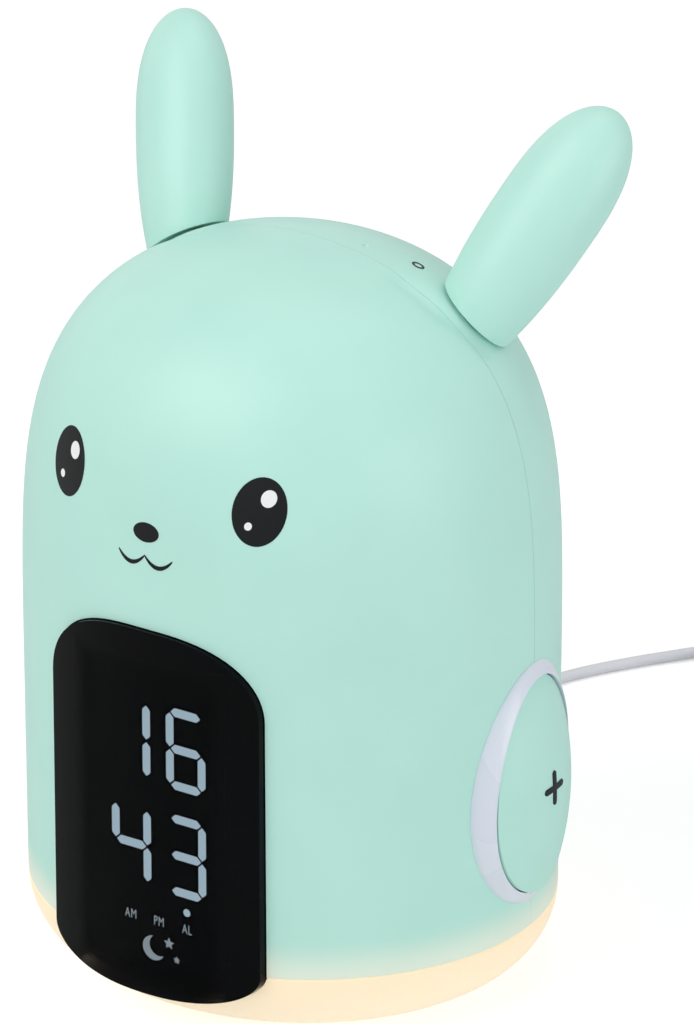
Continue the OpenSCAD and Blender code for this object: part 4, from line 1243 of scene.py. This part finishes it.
@dataclass
class SideButtons:
    """The two large side buttons: a pale bezel, a cap and its raised sign."""

    form: Form
    band: float = 3.0
    gap: float = 0.3
    skirt_x: float = 54.0
    rim_x: float = 66.2
    wall: float = 2.0
    flange: float = 1.2
    skirt_inset: float = 1.7
    post_r: float = 3.0
    ease: float = 1.6
    sign_size: float = 8.3
    sign_t: float = 1.5

    def share(self, inset: float) -> tuple[float, float]:
        """Width and height, as shares, of the egg outline made smaller by inset."""
        return 1 - inset / self.form.pod_half_w, 1 - inset / self.form.pod_half_h

    def rim_top(self, y: float, z: float) -> float:
        """How far the bezel's edge stands out at (y, z): it bows as the cap does."""
        half = self.form.crown_half
        across = (y - self.form.pod_at[0] - self.form.crown_shift) / half[1]
        up = (z - self.form.pod_at[1]) / half[2]
        bow = self.form.cap_x - half[0] * (1 - math.sqrt(max(0.0, 1 - across**2 - up**2)))
        return eased_min(self.rim_x, bow, self.ease)

    def bezel(self) -> Obj:
        """The right bezel: a soft band that stands on the dome, and a skirt through its opening."""
        form = self.form
        # How far the band has risen, as a share, against how far it has come inwards.
        steps = (
            (0.0, 0.0), (0.2, 0.12), (0.4, 0.35), (0.58, 0.7), (0.72, 1.1),
            (0.84, 1.55), (0.92, 2.0), (0.975, 2.45), (1.0, 2.9), (1.0, 3.4),
        )
        stages = [(mark * 10, *self.share(inset)) for mark, inset in steps]
        ring = lofted("plus_bezel_ring", form.pod(0), Axis.ALONG_X, stages, form.pod_at)

        def stand(place: Vector) -> Vector:
            foot = form.side_x(place.y, place.z) + 0.03
            top = -eased_min(-self.rim_top(place.y, place.z), -foot - 0.8, self.ease)
            return Vector((foot + (top - foot) * place.x / 10, place.y, place.z))

        def reach(place: Vector) -> Vector:
            foot = form.side_x(place.y, place.z)
            return Vector((self.skirt_x if place.x < 5 else foot + 0.4, place.y, place.z))

        reshape(ring, stand)
        skirt = reshape(prism("skirt", form.pod(-self.skirt_inset), Axis.ALONG_X, 0, 10), reach)
        for part in (ring, skirt):
            cut(part, [prism("bore", form.pod(-self.band), Axis.ALONG_X, 41, 75)])
        return smooth(merged([ring, skirt]), 40)

    def cap(self) -> Obj:
        """The right cap."""
        form = self.form
        low, out = self.skirt_x - 1.6, 72
        inner = form.pod(-self.band - self.wall - self.gap)
        cap = prism("plus_cap", form.pod(-self.band - self.gap), Axis.ALONG_X, low, out)
        clip(cap, form.crown("crown", 0.0))
        soften(cap, 1.0, 5, 50)
        room = prism("room", inner, Axis.ALONG_X, low - 1, out)
        cut(cap, [clip(room, form.crown("crown_in", self.wall))])
        flange = prism("flange", form.pod(-self.band + self.flange), Axis.ALONG_X, low, low + 1.4)
        cut(flange, [prism("flange_bore", inner, Axis.ALONG_X, low - 1, low + 3)])
        y, z = form.pod_at
        post = rod("post", self.post_r, (53, y, z), (form.cap_x - 1.5, y, z))
        return smooth(merged([cap, flange, post]), 40)

    def sign(self, name: str, crossed: bool) -> Obj:
        """The raised sign of the right cap, with one bar, or with two that cross."""
        form = self.form
        y, z = form.pod_at
        half = (self.sign_size / 2, self.sign_t / 2)
        bar = prism(name, stadium(y, z, *half), Axis.ALONG_X, 60, 74)
        if crossed:
            upright = [(y - v, z + u) for u, v in stadium(0, 0, *half)]
            fuse(bar, [prism("upright", upright, Axis.ALONG_X, 60, 74)])
        clip(bar, form.crown("crown", -0.25))
        cut(bar, [form.crown("crown_in", -0.01)])
        soften(bar, 0.1, 2, 50)
        return smooth(bar, 40)

    def build(self) -> None:
        """Makes both buttons."""
        bezel, cap = self.bezel(), self.cap()
        minus = mirrored(self.sign("minus_sign_right", False), "minus_sign")
        bpy.data.objects.remove(bpy.data.objects["minus_sign_right"])
        plus = (bezel, cap, self.sign("plus_sign", True))
        other = (mirrored(bezel, "minus_bezel_ring"), mirrored(cap, "minus_cap"), minus)
        for key, side, (ring, lid, sign) in (
            (Body.PLUS, "plus", plus),
            (Body.MINUS, "minus", other),
        ):
            for piece in (ring, lid, sign):
                smooth(piece, 40, piece is not ring)
            finish(ring, Body.CLOCK, "bezel_pale", (side + "_bezel",))
            finish(lid, key, "mint", (side + "_button",), "mint_plain")
            finish(sign, key, "ink", (side + "_mark",))


# ---- Ears ----


@dataclass
class Ears:
    """Two long ears, each on a stem that rocks inside the dome."""

    form: Form
    length: float = 54.5
    half_w: float = 12.0
    half_d: float = 10.0
    foot_share: float = 0.82
    tip_power: float = 2.6
    foot_power: float = 2.4
    below: float = 0.16
    stem_r: float = 4.5
    pin_depth: float = 14.0
    hub_r: float = 4.2
    gap: float = 0.8

    def outline(self) -> Flat:
        """Half of the ear's outline, from below its foot to its tip."""
        points = [(0.0, -self.length * self.below)]
        for i in range(14):
            s = (0.5 + self.below) * (1 - i / 14)
            width = 1 - (1 - self.foot_share) * (2 * s) ** self.foot_power
            points.append((self.half_w * width, self.length * (0.5 - s)))
        for i in range(33):
            angle = math.radians(90 * i / 32)
            rise = math.sin(angle) ** (2 / self.tip_power)
            radius = self.half_w * math.cos(angle) if i < 32 else 0.0
            points.append((radius, self.length * (0.5 + 0.5 * rise)))
        return points

    def ear(self) -> Obj:
        """The right ear with its stem."""
        form = self.form
        ear = form.at_ear(turned("right_ear_body", self.outline(), 96, self.half_d / self.half_w))
        cut(ear, [form.dome("below", self.gap, form.seam_z)])
        soften(ear, 0.4, 3, 50)
        stem = form.ear_rod("stem", self.stem_r, -self.pin_depth, 6)
        x, y, z = form.ear_frame() @ Vector((0, 0, -mm(self.pin_depth))) * 1000
        hub = rod("hub", self.hub_r, (x - self.hub_r, y, z), (x + self.hub_r, y, z))
        tail = slab("tail", (x - 1.5, y - 1.5, z - 7.5), (x + 1.5, y + 1.5, z))
        return smooth(merged([ear, stem, hub, tail]), 35)

    def build(self) -> None:
        """Makes both ears."""
        right = self.ear()
        left = smooth(mirrored(right, "left_ear_body"), 35)
        finish(right, Body.RIGHT_EAR, "mint", ("ear_right",), "mint_plain")
        finish(left, Body.LEFT_EAR, "mint", ("ear_left",), "mint_plain")


# ---- Printed face ----


@dataclass
class Prints:
    """The friendly animal face over the window, and the ring mark by the light sensor."""

    form: Form
    eye_x: float = 25.5
    eye_z: float = 130.0
    eye_half_w: float = 5.6
    eye_half_h: float = 7.6
    nose: tuple[float, ...] = (0.0, 121.5, 3.4, 2.2)
    mouth_x: float = 3.6
    mouth: tuple[float, ...] = (116.2, 3.6, 2.2, 0.5)
    glints: tuple[tuple[float, ...], ...] = ((1.7, 3.1, 1.6, 1.9), (-1.8, -3.2, 0.8, 0.9))
    ink_t: float = 0.08
    glint_t: float = 0.12
    ring_t: float = 0.1
    ring_at: Point = (24.5, 14.1, 166.95)
    ring_up: Point = (0.318, 0.215, 0.924)
    ring_r: float = 1.5
    ring_hole_r: float = 0.95

    def skin(self, tool: Obj, thickness: float) -> Obj:
        """Keeps of tool what lies on the dome, as a layer of that thickness."""
        clip(tool, self.form.dome("skin", thickness, self.form.seam_z))
        cut(tool, [self.form.dome("skin_in", 0.01, self.form.seam_z - 1)])
        return smooth(tool, 40)

    def layer(self, name: str, outlines: list[Flat], thickness: float) -> Obj:
        """Prints shapes (x, z) on the front of the dome as one thin layer."""
        parts = [prism(name, flat, Axis.ALONG_Y, -75, -15) for flat in outlines]
        return self.skin(merged(parts), thickness)

    def smile(self, x: float, z: float, half_w: float, drop: float, thick: float) -> Flat:
        """The outline of an upturned curve, thickest in its middle."""
        steps = 20
        upper, lower = [], []
        for i in range(steps + 1):
            s = 2 * i / steps - 1
            y = z - drop * (1 - s * s)
            half = thick * (0.35 + 0.65 * math.sqrt(max(0.0, 1 - s * s)))
            upper.append((x + half_w * s, y + half))
            lower.append((x + half_w * s, y - half))
        return upper + list(reversed(lower))

    def build(self) -> None:
        """Prints the face and the ring."""
        x, z = self.eye_x, self.eye_z
        sides = (-1, 1)
        shapes = [oval(s * x, z, self.eye_half_w, self.eye_half_h, 48) for s in sides]
        shapes.append(oval(*self.nose, 36))
        shapes += [self.smile(s * self.mouth_x, *self.mouth) for s in sides]
        finish(self.layer("face_print", shapes, self.ink_t), Body.CLOCK, "ink")
        glints = [
            oval(s * x + right, z + up, w, h, steps)
            for (right, up, w, h), steps in zip(self.glints, (28, 20))
            for s in sides
        ]
        light = self.layer("face_glints", glints, self.glint_t)
        finish(light, Body.CLOCK, "ink", look="ink_white")
        middle, up = Vector(self.ring_at), Vector(self.ring_up) * 2
        ring = rod("sensor_ring", self.ring_r, middle - up, middle + up, 40)
        cut(ring, [rod("bore", self.ring_hole_r, middle - up * 2, middle + up * 2, 32)])
        finish(self.skin(ring, self.ring_t), Body.CLOCK, "ink")


# ---- Small pieces ----


def slot_of(node: str) -> str:
    """The material slot that the record gives a node."""
    return next(e["material_slot"] for e in frame["record"]["subparts"] if e["node"] == node)


@dataclass(frozen=True)
class Rounded:
    """A small moulded piece of the model, with its edges broken as a mould breaks them."""

    node: str
    body: Body
    width: float
    angle: float = 50.0

    def build(self) -> Obj:
        """Copies the node's mesh, rounds its edges and puts it in the node's place."""
        obj = twin(frame["nodes"][self.node], self.node + "_moulded")
        for key in list(obj.keys()):
            del obj[key]
        with editing(obj, "VERT"):
            bpy.ops.mesh.remove_doubles(threshold=mm(0.005))
            bpy.ops.mesh.dissolve_limited(angle_limit=math.radians(2))
        soften(obj, self.width, 3, self.angle)
        smooth(obj, 35, True)
        return finish(obj, self.body, slot_of(self.node), (self.node,))


ROUNDED = (
    *(Rounded(f"button_{i}", Body(f"key_{i}"), 0.5) for i in range(1, 5)),
    Rounded("rubber_feet", Body.CLOCK, 0.3),
    Rounded("battery_door", Body.DOOR, 0.2),
)
CABLE_ENDS = (
    Rounded("cable_plug", Body.CLOCK, 0.35),
    Rounded("cable_tie", Body.CLOCK, 0.15),
    Rounded("far_plug", Body.CLOCK, 0.7),
    Rounded("far_plug_shell", Body.CLOCK, 0.12),
)


# ---- Cable ----


@dataclass
class Cable:
    """Light power cable: a short lead over the table, and the rest of it wound and tied."""

    diameter: float = 2.8
    exit: Point = (-18.0, 84.0, 27.0)
    route: list[Point] = field(
        default_factory=lambda: [
            (-18, 84, 27), (-18, 89, 27), (-18, 94, 26.2), (-18.6, 99, 24.4), (-19.6, 104, 21.2),
            (-20.8, 109, 17), (-22, 114, 12.5), (-23.4, 119, 8.4), (-24.8, 124, 5.2),
            (-26.3, 130, 2.7), (-27.6, 136, 1.6), (-28.3, 142, 1.4), (-28.3, 148, 1.4),
            (-27.1, 154.2, 1.4), (-24.8, 159.6, 1.4), (-22.1, 164.7, 1.4), (-19.2, 169.6, 1.4),
            (-16.2, 174.4, 1.4), (-13, 179, 1.4), (-9.6, 183.6, 1.5), (-5.9, 188.2, 1.6),
            (-2.1, 192.9, 1.8), (1.8, 197.6, 1.9), (5.52, 202.34, 2),
        ]
    )
    coil_at: Pair = (26.0, 188.0)
    coil_radius: float = 25.0
    coil_pitch: float = 3.65
    layer_pitch: float = 3.5
    coil_low: float = 2.0
    turns_in: float = 4.5
    turns_climb: float = 0.5
    turns_out: float = 4.36
    coil_start: float = 145.0
    tail_length: float = 22.0
    tail_drop: float = 0.9
    points_per_turn: int = 36

    def between(self, i: int, s: float) -> Vector:
        """The point at share s after route point i, on a smooth curve through the points."""
        p = [Vector(q) for q in self.route]
        a, b, c, d = p[max(i - 1, 0)], p[i], p[i + 1], p[min(i + 2, len(p) - 1)]
        return 0.5 * (
            2 * b
            + (c - a) * s
            + (2 * a - 5 * b + 4 * c - d) * s * s
            + (3 * b - a - 3 * c + d) * s * s * s
        )

    def on_coil(self, turn: float) -> Vector:
        """The point on the coil after a number of turns."""
        inner = self.coil_radius - self.coil_pitch * self.turns_in
        top = self.turns_in + self.turns_climb
        if turn < self.turns_in:
            radius, height = self.coil_radius - self.coil_pitch * turn, self.coil_low
        elif turn < top:
            share = (turn - self.turns_in) / self.turns_climb
            radius, height = inner, self.coil_low + self.layer_pitch * share
        else:
            radius = inner + self.coil_pitch * (turn - top)
            height = self.coil_low + self.layer_pitch
        angle = math.radians(self.coil_start - 360 * turn)
        x, y = self.coil_at
        return Vector((x + radius * math.cos(angle), y + radius * math.sin(angle), height))

    def centreline(self) -> list[Vector]:
        """The cable's own line, from the strain relief to the far plug, in millimetres."""
        quarters = (0, 0.25, 0.5, 0.75)
        lead = [self.between(i, s) for i in range(len(self.route) - 1) for s in quarters]
        turns = self.turns_in + self.turns_climb + self.turns_out
        steps = int(turns * self.points_per_turn)
        coil = [self.on_coil(turns * i / steps) for i in range(steps + 1)]
        angle = math.radians(self.coil_start - 360 * turns)
        ahead = Vector((math.sin(angle), -math.cos(angle), 0))
        tail = []
        for i in range(1, 9):
            s = i / 8
            drop = Vector((0, 0, self.tail_drop * s * s * (3 - 2 * s)))
            tail.append(coil[-1] + ahead * self.tail_length * s - drop)
        return lead + coil + tail

    def build(self) -> None:
        line = self.centreline()
        data = bpy.data.curves.new("power_cable", "CURVE")
        data.dimensions = "3D"
        data.bevel_depth = mm(self.diameter / 2)
        data.bevel_resolution = 4
        data.use_fill_caps = True
        spline = data.splines.new("POLY")
        spline.points.add(len(line) - 1)
        for point, place in zip(spline.points, line):
            point.co = (*(place / 1000), 1)
        spline.use_smooth = True
        cable = dress(placed("power_cable", data), material("cable_white"))
        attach(cable, Body.CLOCK.value)
        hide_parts("cable_lead", "cable_coil")
        ends = [end.build() for end in CABLE_ENDS]


def dress_nodes() -> None:
    """Gives each CAD node the material of its slot, and the display's frame a flat black that is
    painted shade for the dark inside the clock.
    """
    for node in (entry["node"] for entry in frame["record"]["subparts"]):
        # The display's frame gets painted shade: flat black where the inside of the clock is dark.
        look = "mask" if node == "display_frame" else slot_of(node)
        dress(frame["nodes"][node], material(look))


def main() -> None:
    """Builds the scene."""
    logging.basicConfig(level=logging.INFO, format="%(name)s %(message)s")
    Studio().build()
    Cable().build()
    dress_nodes()
    form = Form()
    for group in (Shells, LitBase, Window, SideButtons, Ears, Prints):
        group(form).build()
    for piece in ROUNDED:
        piece.build()


if __name__ == "__main__":
    main()
